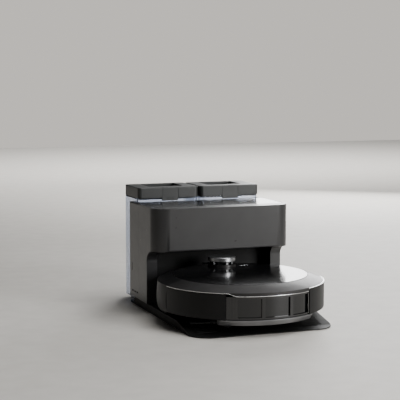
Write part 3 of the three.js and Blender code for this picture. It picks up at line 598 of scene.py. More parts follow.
def middle(b):
    return ((b.x0 + b.x1) / 2, (b.y0 + b.y1) / 2)


FEET = [f"foot_{end}_{side}" for end in ("front", "rear") for side in ("left", "right")]
base_plate()

slope = math.atan2(base.z1 - RAMP_FOOT_Z, RAMP_TOP_Y - RAMP_FOOT_Y)
rib_places = []
for track in (extent("wheel_left"), extent("wheel_right")):
    for i in range(9):
        y = RAMP_FOOT_Y + 8 + i * 7.5
        rib_places.append((middle(track)[0], y, RAMP_FOOT_Z + math.tan(slope) * (y - RAMP_FOOT_Y)))
ribs = grown("ramp_ribs", (rib_places, []), BARS, textured_black_pp,
             size=(40 * mm, 1.6 * mm, 1.2 * mm), turn=(slope, 0.0, 0.0))
finished(ribs, textured_black_pp, "station")

# %% Feet: turned rubber pads with a grooved sole
for node in FEET:
    foot = extent(node)
    sole = [(0, 0.5), (3, 0.5), (3, 0), (5, 0), (5, 0.5), (7, 0.5), (7, 0), (9.6, 0), (10, 0.4),
            (10, 2.1), (0, 2.1)]
    finished(turned(f"{node}_pad", sole, middle(foot), 64), black_rubber, "station", [node])

# %% [markdown]
# The wash tray lifts out for cleaning. It is a shallow basin of dark ABS whose rows of ribs scrub the
# turning mop pads, with a strainer at the back where the dirty water is drawn off. The ribs repeat along a
# row, so they are made one by one in a loop and joined into the basin.

# %% Wash tray
def wash_tray():
    wall = 2.7
    basin = prism("wash_basin", rounded(tray.x0, tray.x1, tray.y0, tray.y1, 13.5), tray.z0, tray.z1)
    inside = rounded(tray.x0 + wall, tray.x1 - wall, tray.y0 + wall, tray.y1 - wall, 11)
    cut(basin, prism("inside", inside, tray.z0 + 2.5, 40))
    for side in (-1, 1):
        for i in range(5):
            x = side * (22 + i * 24)
            join(basin, prism("rib", rounded(x - 2, x + 2, -60, 40, 1.9, 6), 7, 12))
    bevel(basin, 0.6)
    return finished(basin, dark_satin_abs, "station", ["wash_tray"])


wash_tray()
strainer = [(x, 47 + (i % 2) * 3, tray.z0 + 2.6) for i in range(2) for x in range(-24, 25, 6)]
strainer = grown("tray_strainer", (strainer, []), BARS, brushed_steel,
                 size=(4 * mm, 1.2 * mm, 1.4 * mm), turn=(0.0, 0.0, 0.5))
finished(strainer, brushed_steel, "station")

# %% [markdown]
# ## The station's shells
# The head and both legs are one satin charcoal moulding. Its plan has large front corners and its side view
# an elliptical sweep from leg to head, so the solid is the plan kept inside the side view. The outer edges
# get a 1.8 mm round first, and the garage and bays are cut out after that, with finer edges of their own.
# The lining of the garage and the faces that meet at the seam are the same moulding, painted near-black as
# painted shade, so the seam and the mouth of the garage read as dark lines and not as grey ones.

# %% Front shell
def paint_shade_black(piece, low, high):
    """Paints the faces whose middles lie in a box, in millimetres, a near-black that stands in for shade."""
    if painted_shade_black_abs.name not in piece.data.materials:
        piece.data.materials.append(painted_shade_black_abs)
    index = piece.data.materials.find(painted_shade_black_abs.name)
    for face in piece.data.polygons:
        if all(a <= c / mm <= b for a, c, b in zip(low, face.center, high)):
            face.material_index = index


WALL = 3
LEG_FRONT = 60
LEG_THICKNESS = 24
HEAD_BOTTOM = 137.5
HEAD_CORNER = 35
CAVITY_BACK = 97
SWEEP = (40, 24.5)
BAY_SPLIT = 59
BAY_REAR = 100
BAY_HALF = 145
dust_cover = extent("dust_cover")
detergent_cover = extent("detergent_cover")
COVER_BOTTOM = extent("cover_hinge_rod").z1 + 0.8


def front_shell():
    f = shell
    past = f.y1 + 20
    inner_x = f.x1 - LEG_THICKNESS
    side = [(past, f.z0), (past, f.z1), (f.y0, f.z1)]
    side += arc(f.y0 + 4, HEAD_BOTTOM + 4, 4, 180, 270, 8)
    side += arc(LEG_FRONT - SWEEP[0], HEAD_BOTTOM - SWEEP[1], SWEEP[0], 90, 0, 24, SWEEP[1])
    side += [(LEG_FRONT, f.z0)]
    plan = rounded(f.x0, f.x1, f.y0, past, (HEAD_CORNER, HEAD_CORNER, 0, 0), 40)
    body = prism("head_and_legs", plan, f.z0, f.z1)
    within(body, prism("side", side, f.x0 - 1, f.x1 + 1, "x"))
    bevel(body, 1.8, 3, 40)
    cut(body, block("seam", f.x0 - 5, f.x1 + 5, f.y1, past + 5, 0, 300))
    cut(body, block("garage", -inner_x, inner_x, -10, CAVITY_BACK, 0, HEAD_BOTTOM))
    for s in (-1, 1):
        ends = sorted((s * (inner_x + WALL), s * (f.x1 - WALL)))
        cut(body, block("leg", *ends, LEG_FRONT + WALL, 140, f.z0 + WALL, HEAD_BOTTOM + WALL))
    cut(body, block("behind", -inner_x, inner_x, CAVITY_BACK + WALL, 140, f.z0 + WALL, HEAD_BOTTOM + WALL))
    corner = HEAD_CORNER - WALL
    head = rounded(f.x0 + WALL, f.x1 - WALL, f.y0 + WALL, 140, (corner, corner, 0, 0), 24)
    cut(body, prism("head", head, HEAD_BOTTOM + WALL, f.z1 - 6))
    split = (BAY_SPLIT - 1.5, BAY_SPLIT + 1.5)
    join(body, block("divider", *split, f.y0 + 1, BAY_REAR, HEAD_BOTTOM + 1, f.z1 - 5))
    seat = rounded(dust_cover.x0 - GAP, -dust_cover.x0 + GAP, dust_cover.y0 - GAP, 140, (8, 8, 0, 0))
    cut(body, prism("seat", seat, COVER_BOTTOM - GAP, 300))
    for x0, x1 in ((-BAY_HALF, BAY_SPLIT - 5), (BAY_SPLIT + 5, BAY_HALF)):
        cut(body, prism("bay", rounded(x0, x1, 42, BAY_REAR - 3, 8), 200, 300))
    for s in (-1, 1):
        cut(body, prism("contact_slot", rounded(s * 26 - 5, s * 26 + 5, 60, 76, 1.5, 4), 90, 104, "y"))
    cut(body, prism("beacon_slot", rounded(-16, 16, 84, 96, 3, 8), 90, 104, "y"))
    bevel(body, 0.5)
    finished(body, satin_charcoal_abs, "station", ["front_shell"])
    # Painted shade: the lining of the garage is painted near-black for the shadow inside it, so that the
    # parked robot stands out against it.
    paint_shade_black(body, (-inner_x - 0.2, f.y0 + 8, 0), (inner_x + 0.2, CAVITY_BACK + 0.2, HEAD_BOTTOM + 0.2))
    # Painted shade: the faces at the seam are painted near-black, so the gap reads as a dark line.
    paint_shade_black(body, (f.x0, f.y1 - 0.1, 0), (f.x1, f.y1 + 0.1, f.z1))
    return body


front_shell()

# %% [markdown]
# The rear housing closes the back of the station and wraps the tanks with two side panels. The covers' hinge
# rod is held by a hook at each end. Low on the left are three vents and a narrow finger slot, and on the
# right is the opening for the mains inlet.

# %% Rear housing and back cover
back = extent("back_cover")
CORE_REAR = back.y0 - GAP
rod = extent("cover_hinge_rod")
AXIS_Y = (rod.y0 + rod.y1) / 2
AXIS_Z = (rod.z0 + rod.z1) / 2
SLOT = (164, 167.5, 77, 95)
VENTS = [(start, start + 10, 30, 34) for start in (124, 140, 156)]


def rear_housing():
    h = housing
    before = h.y0 - 20
    body = prism("rear_housing_moulding", rounded(h.x0, h.x1, before, h.y1, (0, 0, 5, 5), 10), h.z0, h.z1)
    bevel(body, 1.8, 3, 40)
    cut(body, block("seam", h.x0 - 5, h.x1 + 5, before - 5, h.y0, 0, 300))
    cut(body, block("core", h.x0 + WALL + 2, h.x1 - WALL - 2, before, CORE_REAR, h.z0 + WALL, h.z1 - 6))
    cut(body, block("tanks", tank_box.x0 - 0.6, -tank_box.x0 + 0.6, CORE_REAR, 220, 0, 300))
    inner = -dust_cover.x0 + GAP
    cut(body, block("seat", -inner, inner, before, CORE_REAR, COVER_BOTTOM - GAP, 300))
    cut(body, block("hinge_slot", -inner, inner, 136, CORE_REAR, 200, 300))
    y, z = AXIS_Y, AXIS_Z
    hook = [(y - 6, z - 7), (y + 1.6, z - 7), (y + 1.6, z), (y, z + 1.3), (y - 6, z + 1.3)]
    for x in (dust_cover.x0 + 2, -dust_cover.x0 - 2):
        join(body, prism("hook", hook, x - 3, x + 3, "x"))
    cut(body, prism("rod_hole", circle(y, z, 1.3, 24), -inner, inner, "x"))
    for y0, y1, z0, z1 in [SLOT, *VENTS]:
        cut(body, prism("slot", rounded(y0, y1, z0, z1, 1.6, 6), h.x0 - 5, h.x0 + 8, "x"))
    cut(body, prism("slot", rounded(*SLOT, 1.6, 6), h.x1 - 5, h.x1 + 5, "x"))
    cut(body, prism("inlet", rounded(121.7, 146.3, 27.7, 46.3, 1, 4), h.x1 - WALL - 5, h.x1 + 5, "x"))
    bevel(body, 0.5)
    finished(body, satin_charcoal_abs, "station", ["rear_housing"])
    # Painted shade: the seam faces, and the walls of the finger slot and the vents, are painted near-black.
    paint_shade_black(body, (h.x0, h.y0 - 0.1, 0), (h.x1, h.y0 + 0.1, h.z1))
    for y0, y1, z0, z1 in [SLOT, *VENTS]:
        paint_shade_black(body, (h.x0 + 0.6, y0 - 0.1, z0 - 0.1), (h.x0 + 8.2, y1 + 0.1, z1 + 0.1))
    return body


rear_housing()
panel = block("back_panel", back.x0, back.x1, back.y0, back.y1, back.z0, back.z1)
finished(bevel(panel, 0.5), satin_charcoal_abs, "station", ["back_cover"])

# %% [markdown]
# The two covers over the dust bag and the detergent are satin black ABS, smooth enough to hold a soft
# reflection of the wall behind, flat as a lid and split by one hairline. Their edges are rounded by
# 0.9 mm, so that the hairline is seen. Their knuckles turn on the rod at the back.

# %% Covers and hinge rod
def cover(node, name, corners, knuckles):
    c = extent(node)
    plate = prism(name, rounded(c.x0, c.x1, c.y0, c.y1, corners, 12), COVER_BOTTOM, c.z1)
    bevel(plate, 0.9, 3)
    for x in knuckles:
        web = block("web", x - 6, x + 6, AXIS_Y - 2.6, AXIS_Y + 2.6, AXIS_Z, COVER_BOTTOM + 1)
        join(plate, web, prism("knuckle", circle(AXIS_Y, AXIS_Z, 3, 32), x - 6, x + 6, "x"))
        cut(plate, prism("bore", circle(AXIS_Y, AXIS_Z, 1.3, 24), x - 7, x + 7, "x"))
    return finished(plate, satin_black_abs, node, [node])


cover("dust_cover", "dust_lid", (8, 1, 1, 1), (-124, 34))
cover("detergent_cover", "detergent_lid", (1, 8, 1, 1), (75, 132))
pin = prism("hinge_pin", circle(AXIS_Y, AXIS_Z, 1, 24), rod.x0, rod.x1, "x")
finished(pin, brushed_steel, "station", ["cover_hinge_rod"])

# %% [markdown]
# ## The water tanks
# Each tank is a clear polycarbonate bucket with a 2.6 mm wall, and it lifts straight out. The lid is satin
# grey, stepped where it plugs into the bucket, with a finger well in its top and a snap latch in front.
# Inside hang a dip tube and a float, which the translucent wall shows faintly.

# %% Tanks
TANK_WALL = 2.6
CORNER = 8


def tank(side):
    t = extent(f"{side}_tank")
    bucket = prism(f"{side}_bucket", rounded(t.x0, t.x1, t.y0, t.y1, CORNER, 16), t.z0, t.z1)
    bevel(bucket, 2.4, 4, 60)
    w = TANK_WALL
    inside = rounded(t.x0 + w, t.x1 - w, t.y0 + w, t.y1 - w, CORNER - w, 16)
    cut(bucket, prism("inside", inside, t.z0 + w, t.z1 + 9))
    cut(bucket, block("flat_rim", t.x0 - 5, t.x1 + 5, t.y0 - 5, t.y1 + 5, t.z1, t.z1 + 9))
    bevel(bucket, 0.5)
    return finished(bucket, tank_polycarbonate, f"{side}_tank", [f"{side}_tank"])


def dip_tube(side, x):
    t = extent(f"{side}_tank")
    tube = [(3, 16), (4.5, 16), (4.5, 226), (3, 226)]
    pipe = turned(f"{side}_dip_tube", tube, (x, t.y0 + 22), 32)
    strainer = [(0, 10.5), (9, 10.5), (9, 15.5), (5, 18), (0, 18)]
    join(pipe, turned("foot", strainer, (x, t.y0 + 22), 32))
    return finished(pipe, white_abs, f"{side}_tank")


def float_ball(side, x):
    t = extent(f"{side}_tank")
    y = t.y1 - 30
    ball = turned(f"{side}_float", [(0, 34), *arc(0, 48, 14, -90, 90, 16), (0, 62)], (x, y), 48)
    stem = turned("stem", [(0, 11), (2, 11), (2, 225), (0, 225)], (x, y), 24)
    return finished(join(ball, stem), white_abs, f"{side}_tank")


for side, tube_x, float_x in (("clean", -118, -40), ("dirty", 118, 40)):
    tank(side)
    dip_tube(side, tube_x)
    float_ball(side, float_x)

# %% Lids and latches
LATCH = extent("clean_tank_latch")
LATCH_HALF = (LATCH.x1 - LATCH.x0) / 2
WELL_Y = (185, 254)
WELL_FLOOR = 236.5


def lid(side, well_x):
    t, c = extent(f"{side}_tank"), extent(f"{side}_tank_lid")
    rim_bottom = t.z1 + GAP
    top = prism(f"{side}_lid_moulding", rounded(c.x0, c.x1, c.y0, c.y1, CORNER, 16), rim_bottom, c.z1)
    bevel(top, 2.0, 3, 60)
    cut(top, block("flat_base", c.x0 - 5, c.x1 + 5, c.y0 - 5, c.y1 + 5, c.z0 - 5, rim_bottom + 2.2))
    skirt = prism("skirt", rounded(c.x0, c.x1, c.y0, c.y1, CORNER, 16), rim_bottom, rim_bottom + 2.2)
    inset = TANK_WALL + 0.7
    plug = rounded(t.x0 + inset, t.x1 - inset, t.y0 + inset, t.y1 - inset, CORNER - inset, 16)
    join(top, skirt, prism("plug", plug, c.z0, t.z1 + 2))
    cut(top, prism("well", rounded(*well_x, *WELL_Y, 6), WELL_FLOOR, c.z1 + 5))
    catch = middle(extent(f"{side}_tank_latch"))[0]
    half = LATCH_HALF + GAP
    cut(top, block("catch", catch - half, catch + half, c.y0 - 3, c.y0 + 5, t.z1 - 5, c.z1 + 5))
    bevel(top, 0.5)
    return finished(top, lid_grey_abs, f"{side}_tank_lid", [f"{side}_tank_lid"])


def latch(side):
    c = extent(f"{side}_tank_latch")
    profile = [(c.y0, c.z0), (c.y1, c.z0), (c.y1, c.z1), (c.y0 + 1, c.z1), (c.y0, c.z1 - 1.6)]
    tab = prism(f"{side}_latch_tab", profile, c.x0, c.x1, "x")
    x0, x1 = c.x0 + 9, c.x1 - 9
    for z in (c.z0 + 2.6, c.z0 + 4.6, c.z0 + 6.6):
        cut(tab, prism("groove", circle(c.y0, z, 0.45, 16), x0, x1, "x"))
    bevel(tab, 0.3)
    return finished(tab, lid_grey_abs, f"{side}_tank_latch", [f"{side}_tank_latch"])


for side, well_x in (("clean", (-112, -30)), ("dirty", (31, 113))):
    lid(side, well_x)
    latch(side)

# %% [markdown]
# ## What the station holds
# Under the covers lie the dust bag and the detergent, and behind the garage sit pumps, fans, a power supply
# and a board. Their shapes come from the frame and only need real edges and finishes. Chips and capacitors
# on the boards repeat at random, so they are grown from scattered points with a fixed seed.

# %% Board components: small blocks of random height on scattered points
def component_tree():
    tree, given = new_tree("components", {"Chip": (6 * mm, 6 * mm, 2 * mm), "Spacing": 9 * mm, "Seed": 4})
    spots = add(tree, "GeometryNodeDistributePointsOnFaces", {
        "Mesh": given["Seed mesh"], "Distance Min": given["Spacing"], "Density Max": 40000.0,
        "Seed": given["Seed"]}, distribute_method="POISSON")
    chip = add(tree, "GeometryNodeMeshCube", {"Size": given["Chip"]})
    size = add(tree, "FunctionNodeRandomValue", {
        0: (0.4, 0.4, 0.3), 1: (1.1, 1.3, 1.6), "Seed": given["Seed"]}, data_type="FLOAT_VECTOR")
    placed = add(tree, "GeometryNodeInstanceOnPoints", {
        "Points": spots.outputs["Points"], "Instance": chip.outputs["Mesh"], "Scale": size.outputs[0]})
    return close_tree(tree, given, placed.outputs[0])


COMPONENTS = component_tree()


def components(name, corners, chip, seed, body):
    """Chips scattered on a four-cornered patch of a board."""
    piece = grown(name, (corners, [(0, 1, 2, 3)]), COMPONENTS, textured_black_pp,
                  chip=tuple(v * mm for v in chip), seed=seed)
    return finished(piece, textured_black_pp, body)


cb = extent("control_board")
board_edge = rounded(cb.x0 + 6, cb.x1 - 6, cb.z0 + 6, cb.z1 - 6, 0)
places = [(x, cb.y1 + 1, z) for x, z in board_edge]
components("control_board_chips", places, (7, 3, 7), 3, "station")
mb = extent("main_board")
board_edge = rounded(mb.x0 + 8, mb.x1 - 8, mb.y0 + 8, mb.y1 - 8, 0)
places = [(x, y, mb.z1 + 0.8) for x, y in board_edge]
components("main_board_chips", places, (8, 8, 1.8), 5, "robot")

# %% Inner parts with their edges rounded
for node, finish, body, slot, radius in [
    ("control_board", circuit_board, "station", "circuit_board", 0.2),
    ("main_board", circuit_board, "robot", "circuit_board", 0.2),
    ("power_supply", white_abs, "station", "white_plastic", 1.2),
    ("battery", white_abs, "robot", "white_plastic", 1.5),
    ("power_inlet", textured_black_pp, "station", "base_plastic", 0.5),
    ("dust_bag_collar", white_abs, "station", "white_plastic", 0.5),
    ("beacon_window", smoked_acrylic, "station", "smoked_window", 0.6),
    ("charging_contact_left", brushed_steel, "station", "contact_steel", 0.8),
    ("charging_contact_right", brushed_steel, "station", "contact_steel", 0.8),
    ("chassis", textured_black_pp, "robot", "base_plastic", 0.4),
    ("dustbin", smoked_acrylic, "robot", "smoked_window", 1.0),
    ("wheel_arm_left", dark_satin_abs, "wheel_arm_left", "dark_plastic", 0.5),
    ("wheel_arm_right", dark_satin_abs, "wheel_arm_right", "dark_plastic", 0.5),
    ("caster_fork", dark_satin_abs, "caster_fork", "dark_plastic", 0.4),
]:
    finished(refined(node, f"{node}_body", radius), finish, body, [node])

# %% Pumps, fans and the fan motor: turned housings with ribs and bosses
def pump(node):
    p = extent(node)
    x = middle(p)[0]
    y = (p.y0 + 18)
    z = p.z0
    motor = [(0, z + 14), (14, z + 14), *arc(12, z + 52, 2, 0, 90, 4), (0, z + 54)]
    head = [(0, z), *arc(16, z + 2, 2, -90, 0, 4), (18, z + 15), (0, z + 15)]
    piece = turned(f"{node}_body", motor, (x, y), 64)
    join(piece, turned("head", head, (x, y), 64))
    for height in (24, 30, 36, 42):
        low, high = z + height, z + height + 2
        cut(piece, turned("groove", [(13.2, low), (15, low), (15, high), (13.2, high)], (x, y), 64))
    join(piece, prism("spout", circle(x, z + 7, 4, 24), y + 10, p.y1, "y"))
    bevel(piece, 0.3)
    return finished(piece, dark_satin_abs, "station", [node])


def blower(node, centre_x, radius):
    p = extent(node)
    z = p.z1 - radius
    name = f"{node}_body"
    eye = radius * 0.45
    scroll = [(eye, p.y0), *arc(radius - 4, p.y0 + 4, 4, -90, 0, 6),
              *arc(radius - 4, p.y1 - 4, 4, 0, 90, 6), (0, p.y1), (0, p.y0 + 3), (eye, p.y0 + 3)]
    piece = turned(name, scroll, (centre_x, z), 96, "y")
    join(piece, block("outlet", centre_x, p.x1, p.y0 + 2, p.y1 - 2, z - radius + 1, z - radius + 14))
    cut(piece, block("mouth", p.x1 - 5, p.x1 + 2, p.y0 + 4, p.y1 - 4, z - radius + 3, z - radius + 12))
    bevel(piece, 0.4)
    return finished(piece, dark_satin_abs, "station", [node])


pump("clean_water_pump")
pump("dirty_water_pump")
blower("suction_fan", -20, 30)
blower("drying_fan", 48, 24)
fan = extent("fan_motor")
hub = [(0, fan.z0), *arc(18, fan.z0 + 2, 2, -90, 0, 4), (20, 58), (14, 60),
       *arc(12, fan.z1 - 2, 2, 0, 90, 4), (0, fan.z1)]
motor = turned("fan_motor_body", hub, middle(fan), 96)
for i in range(12):
    a = 2 * math.pi * i / 12
    x, y = middle(fan)
    slot = prism("slot", circle(x + 17 * math.cos(a), y + 17 * math.sin(a), 1.4, 12), 52, 70)
    cut(motor, slot)
finished(motor, dark_satin_abs, "robot", ["fan_motor"])

# %% [markdown]
# The detergent comes in a blow-moulded white bottle with a ribbed screw cap. Blow moulding leaves wide, soft
# corners, so its edges get a 4 mm round. The grip ribs of the cap stand in a ring round its axis, and the
# tree turns each one to face outwards.

# %% Radial bars, and the detergent bottle
def radial_tree():
    tree, given = new_tree("radial bars", {"Size": (2 * mm, 1 * mm, 8 * mm), "Centre": (0.0, 0.0, 0.0)})
    bar = add(tree, "GeometryNodeMeshCube", {"Size": given["Size"]})
    here = add(tree, "GeometryNodeInputPosition")
    out = add(tree, "ShaderNodeVectorMath", {0: here.outputs[0], 1: given["Centre"]}, operation="SUBTRACT")
    parts = add(tree, "ShaderNodeSeparateXYZ", {0: out.outputs[0]})
    angle = add(tree, "ShaderNodeMath", {0: parts.outputs[1], 1: parts.outputs[0]}, operation="ARCTAN2")
    turn = add(tree, "ShaderNodeCombineXYZ", {2: angle.outputs[0]})
    placed = add(tree, "GeometryNodeInstanceOnPoints", {
        "Points": given["Seed mesh"], "Instance": bar.outputs["Mesh"], "Rotation": turn.outputs[0]})
    return close_tree(tree, given, placed.outputs[0])


RADIAL = radial_tree()
bottle_box = extent("detergent_bottle")
bx, by = middle(bottle_box)
flask = rounded(bottle_box.x0, bottle_box.x1, bottle_box.y0, bottle_box.y1, 18)
bottle = prism("detergent_flask", flask, bottle_box.z0, 200)
bevel(bottle, 4, 5, 60)
finished(bottle, white_abs, "station", ["detergent_bottle"])
cap_edge = arc(11, bottle_box.z1 - 1, 1, 0, 90, 4)
cap = turned("detergent_cap", [(0, 200.3), (12, 200.3), *cap_edge, (0, bottle_box.z1)], (bx, by), 96)
finished(cap, dark_satin_abs, "station")
turns = [2 * math.pi * i / 36 for i in range(36)]
grips = [(bx + 12.2 * math.cos(a), by + 12.2 * math.sin(a), 206.5) for a in turns]
knurl = grown("detergent_cap_ribs", (grips, []), RADIAL, dark_satin_abs,
              size=(1.2 * mm, 0.8 * mm, 11 * mm), centre=(bx * mm, by * mm, 0.0))
finished(knurl, dark_satin_abs, "station")

# %% [markdown]
# The dust bag is a pillow of non-woven cloth, welded round its rim and blown out by the air that fills it.
# A cloth simulation makes that shape best: a slightly small box is remeshed to even cells, swells under
# pressure with gravity off, and is stopped before it reaches the walls of its bay.

# %% Dust bag, by cloth simulation
def swell(piece, pressure, frames, furthest):
    """Blows a closed mesh up as cloth, and lets no point travel further than a distance in millimetres."""
    rest = [v.co.copy() for v in piece.data.vertices]
    cloth_step = piece.modifiers.new("swell", "CLOTH")
    cloth_step.settings.use_pressure = True
    cloth_step.settings.uniform_pressure_force = pressure
    cloth_step.settings.effector_weights.gravity = 0
    cloth_step.point_cache.frame_end = frames
    for i in range(1, frames + 1):
        bpy.context.scene.frame_set(i)
    settle(piece)
    for vertex, start in zip(piece.data.vertices, rest):
        step = vertex.co - start
        if step.length > furthest * mm:
            vertex.co = start + step.normalized() * furthest * mm
    bpy.context.scene.frame_set(1)
    return piece


bag_box = extent("dust_bag")
inset = 5
bag_plan = rounded(bag_box.x0 + inset, bag_box.x1 - inset, bag_box.y0 + inset, bag_box.y1 - inset, 18, 8)
bag = prism("dust_bag_cloth", bag_plan, bag_box.z0 + inset, bag_box.z1 - inset)
bevel(bag, 6, 3, 60)
remesh = bag.modifiers.new("even", "REMESH")
remesh.mode = "VOXEL"
remesh.voxel_size = 5 * mm
settle(bag)
swell(bag, 4, 16, inset - 0.6)
crumple = random.Random(7)
reaches = ((bag_box.x0, bag_box.x1), (bag_box.y0, bag_box.y1), (0, math.pi))
folds = [tuple(crumple.uniform(*reach) for reach in reaches) for _ in range(14)]
for vertex in bag.data.vertices:
    x, y = vertex.co.x / mm, vertex.co.y / mm
    depth = sum(math.exp(-(((x - u) * math.sin(a) - (y - v) * math.cos(a)) / 2.5) ** 2) *
                math.exp(-((x - u) ** 2 + (y - v) ** 2) / 900) for u, v, a in folds)
    vertex.co.z -= min(depth, 1.2) * 1.2 * mm
finer = bag.modifiers.new("finer", "SUBSURF")
finer.levels = 1
finer.render_levels = 1
settle(bag)
finished(bag, bag_nonwoven, "station", ["dust_bag"])

# %% [markdown]
# ## The robot's body
# Everything on the robot is turned about one upright axis, as the tool that cut its mould was. The deck is a
# shallow cone, metallic grey in front of the bumper's seam and dark behind it, and a plated strip marks its
# edge. Over the sensor window that edge dips in a slanted visor. The cuts are
# flat, so each ring is kept inside an outline pushed along Y.

# %% Deck
robot_box = extent("rear_shell", "bumper")
CENTRE = middle(extent("top_cover"))
deck_box = extent("deck")
bumper_box = extent("bumper")
SEAM = bumper_box.y1
BODY_TOP = bumper_box.z1
RADIUS = robot_box.x1
VISOR_TOP = 80.8
VISOR_KNOTS = (-87, -72, 86, 88)      # x where the edge starts down, is low, starts up and is level again
DECK_EDGE_Z = 88.4
DECK_FLOOR = 90
FAR = 300                             # beyond every piece, for blocks that cut
DECK_RADIUS = deck_box.x1
DISC_RADIUS = extent("top_cover").x1


def notch(dx, dz, top):
    """The slanted edge over the window, in x and z, filled up to a height."""
    a, b, c, d = VISOR_KNOTS
    return [(a - dx, BODY_TOP + dz), (b - dx, VISOR_TOP + dz), (c + dx, VISOR_TOP + dz),
            (d + dx, BODY_TOP + dz), (d + dx, top), (a - dx, top)]


def ring(name, inner, outer, z0, z1):
    return turned(name, [(inner, z0), (outer, z0), (outer, z1), (inner, z1)], CENTRE)


def slope_points(r0, z0, r1, z1, crown, steps=10):
    """A slightly crowned line from one radius and height to another."""
    parts = [i / steps for i in range(steps + 1)]
    return [(r0 + (r1 - r0) * t, z0 + (z1 - z0) * t + 4 * crown * t * (1 - t)) for t in parts]


def deck():
    lip = DISC_RADIUS + 0.5
    under = BODY_TOP + GAP
    outer = slope_points(DECK_RADIUS, DECK_EDGE_Z, lip, deck_box.z1, 0.6)
    profile = [(0, DECK_FLOOR), (139.5, DECK_FLOOR), (168, under), (DECK_RADIUS, under), *outer,
               (lip, DECK_FLOOR + 3), (0, DECK_FLOOR + 3)]
    dome = turned("deck_moulding", profile, CENTRE)
    visor = ring("visor", 168, DECK_RADIUS, VISOR_TOP + GAP, BODY_TOP + 1)
    join(dome, within(visor, prism("notch", notch(-GAP, GAP, 200), -FAR, SEAM, "y")))
    bin_box = extent("dustbin")
    bin_hole = rounded(bin_box.x0 - 2, bin_box.x1 + 2, bin_box.y0 - 2, bin_box.y1 + 2, 8)
    cut(dome, prism("bin_hole", bin_hole, 80, 96))
    bevel(dome, 0.5)
    # Ahead of the bumper's seam the cone is metallic grey; behind it, dark.
    rear = bpy.data.objects.new("deck_rear", dome.data.copy())
    bpy.context.scene.collection.objects.link(rear)
    within(dome, block("front", -FAR, FAR, -FAR, SEAM, 0, 200))
    cut(rear, block("front", -FAR, FAR, -FAR, SEAM + GAP, 0, 200))
    finished(dome, metallic_paint, "robot", ["deck"])
    finished(rear, dark_satin_abs, "robot")


deck()

# %% Bright strip and top cover
def strip_height(x):
    """The height of the deck's edge at x: level, down the left slant, level over the window, and up again."""
    low = BODY_TOP + GAP
    dip = VISOR_TOP + GAP
    a, b, c, d = VISOR_KNOTS
    knots = [(-RADIUS, low), (a, low), (b, dip), (c, dip), (d, low), (RADIUS, low)]
    for (x0, z0), (x1, z1) in zip(knots, knots[1:]):
        if x <= x1:
            return z0 + (z1 - z0) * (x - x0) / (x1 - x0)
    return low


def bright_strip():
    """One small section carried along the deck's front edge, with its corners taken off."""
    inner, height, corner = RADIUS - 1.7, 1.3, 0.25
    section = [(inner, 0), (RADIUS - corner, 0), (RADIUS, corner), (RADIUS, height - corner),
               (RADIUS - corner, height), (inner, height)]
    start = math.asin((SEAM - CENTRE[1]) / RADIUS)
    steps = 900
    verts = []
    for i in range(steps + 1):
        a = math.pi - start + (math.pi + 2 * start) * i / steps
        rise = strip_height(RADIUS * math.cos(a))
        verts += [(CENTRE[0] + r * math.cos(a), CENTRE[1] + r * math.sin(a), rise + z) for r, z in section]
    n = len(section)
    faces = [(i * n + j, i * n + (j + 1) % n, (i + 1) * n + (j + 1) % n, (i + 1) * n + j)
             for i in range(steps) for j in range(n)]
    faces += [tuple(range(n)), tuple(reversed(range(steps * n, steps * n + n)))]
    strip = piece_from("bright_strip", verts, faces)
    return finished(strip, bright_chrome, "robot", ["deck_trim"])


bright_strip()
top = extent("top_cover")
turret_box = extent("lidar_base")
button = extent("start_button")


def top_cover():
    edge = arc(top.x1 - 0.8, top.z1 - 0.8, 0.8, 0, 90, 6)
    plate = turned("top_plate", [(0, top.z0), (top.x1, top.z0), *edge, (0, top.z1)], CENTRE)
    cut(plate, turned("turret_hole", [(0, 80), (30.6, 80), (30.6, 120), (0, 120)], middle(turret_box), 128))
    hole = rounded(button.x0 - 0.5, button.x1 + 0.5, button.y0 - 0.5, button.y1 + 0.5, 3.8)
    cut(plate, prism("button_hole", hole, 80, 120))
    bevel(plate, 0.3)
    return finished(plate, piano_black_abs, "top_cover", ["top_cover"])


top_cover()
pill = prism("start_key", rounded(button.x0, button.x1, button.y0, button.y1, 3.3), button.z0, button.z1)
finished(bevel(pill, 0.5, 3, 60), brushed_steel, "start_button", ["start_button"])

# %% [markdown]
# The bumper is a sprung half ring with a wide opening in front. In the opening a dark frame holds three
# panes of smoked acrylic for the distance sensors, a few millimetres inside the curve, and a bright plated
# strip at its right end stands in for the highlight on the window's lit end face. Below hangs a silver lip
# that guides the bumper over door sills, and the rear
# shell bulges a little between its edges.

# %% Bumper
WINDOW = (-91, 89)
WINDOW_Z0 = 35.5


def front_band(x0, x1, z0=0, z1=200):
    return block("band", x0, x1, -FAR, SEAM, z0, z1)


def bumper():
    b = bumper_box
    x0, x1 = WINDOW
    outside = [(171, b.z0), *arc(RADIUS - 2.5, b.z0 + 2.5, 2.5, -90, 0, 6),
               *arc(RADIUS - 0.6, b.z1 - 0.6, 0.6, 0, 90, 3), (171, b.z1)]
    skin = turned("bumper_moulding", outside, CENTRE)
    within(skin, block("front", -FAR, FAR, -FAR, SEAM, 0, 200))
    cut(skin, front_band(x0, x1), prism("notch", notch(0, 0, 200), -FAR, SEAM + 5, "y"))
    join(skin, within(ring("back", 159, 162.4, b.z0, VISOR_TOP), front_band(x0 - 4, x1 + 4)))
    for a in (x0 - 4, x1):
        join(skin, within(ring("cheek", 159, RADIUS, b.z0, VISOR_TOP), front_band(a, a + 4)))
    join(skin, within(ring("sill", 159, 170, b.z0, WINDOW_Z0 - 0.2), front_band(x0 - 2, x1 + 2)))
    bevel(skin, 0.35)
    return finished(skin, dark_satin_abs, "bumper", ["bumper"])


bumper()

# %% Window frame, window and lip
PANES = [(-69, -23), (-16, 39), (46, 85)]
FRAME_RADIUS = 172.4


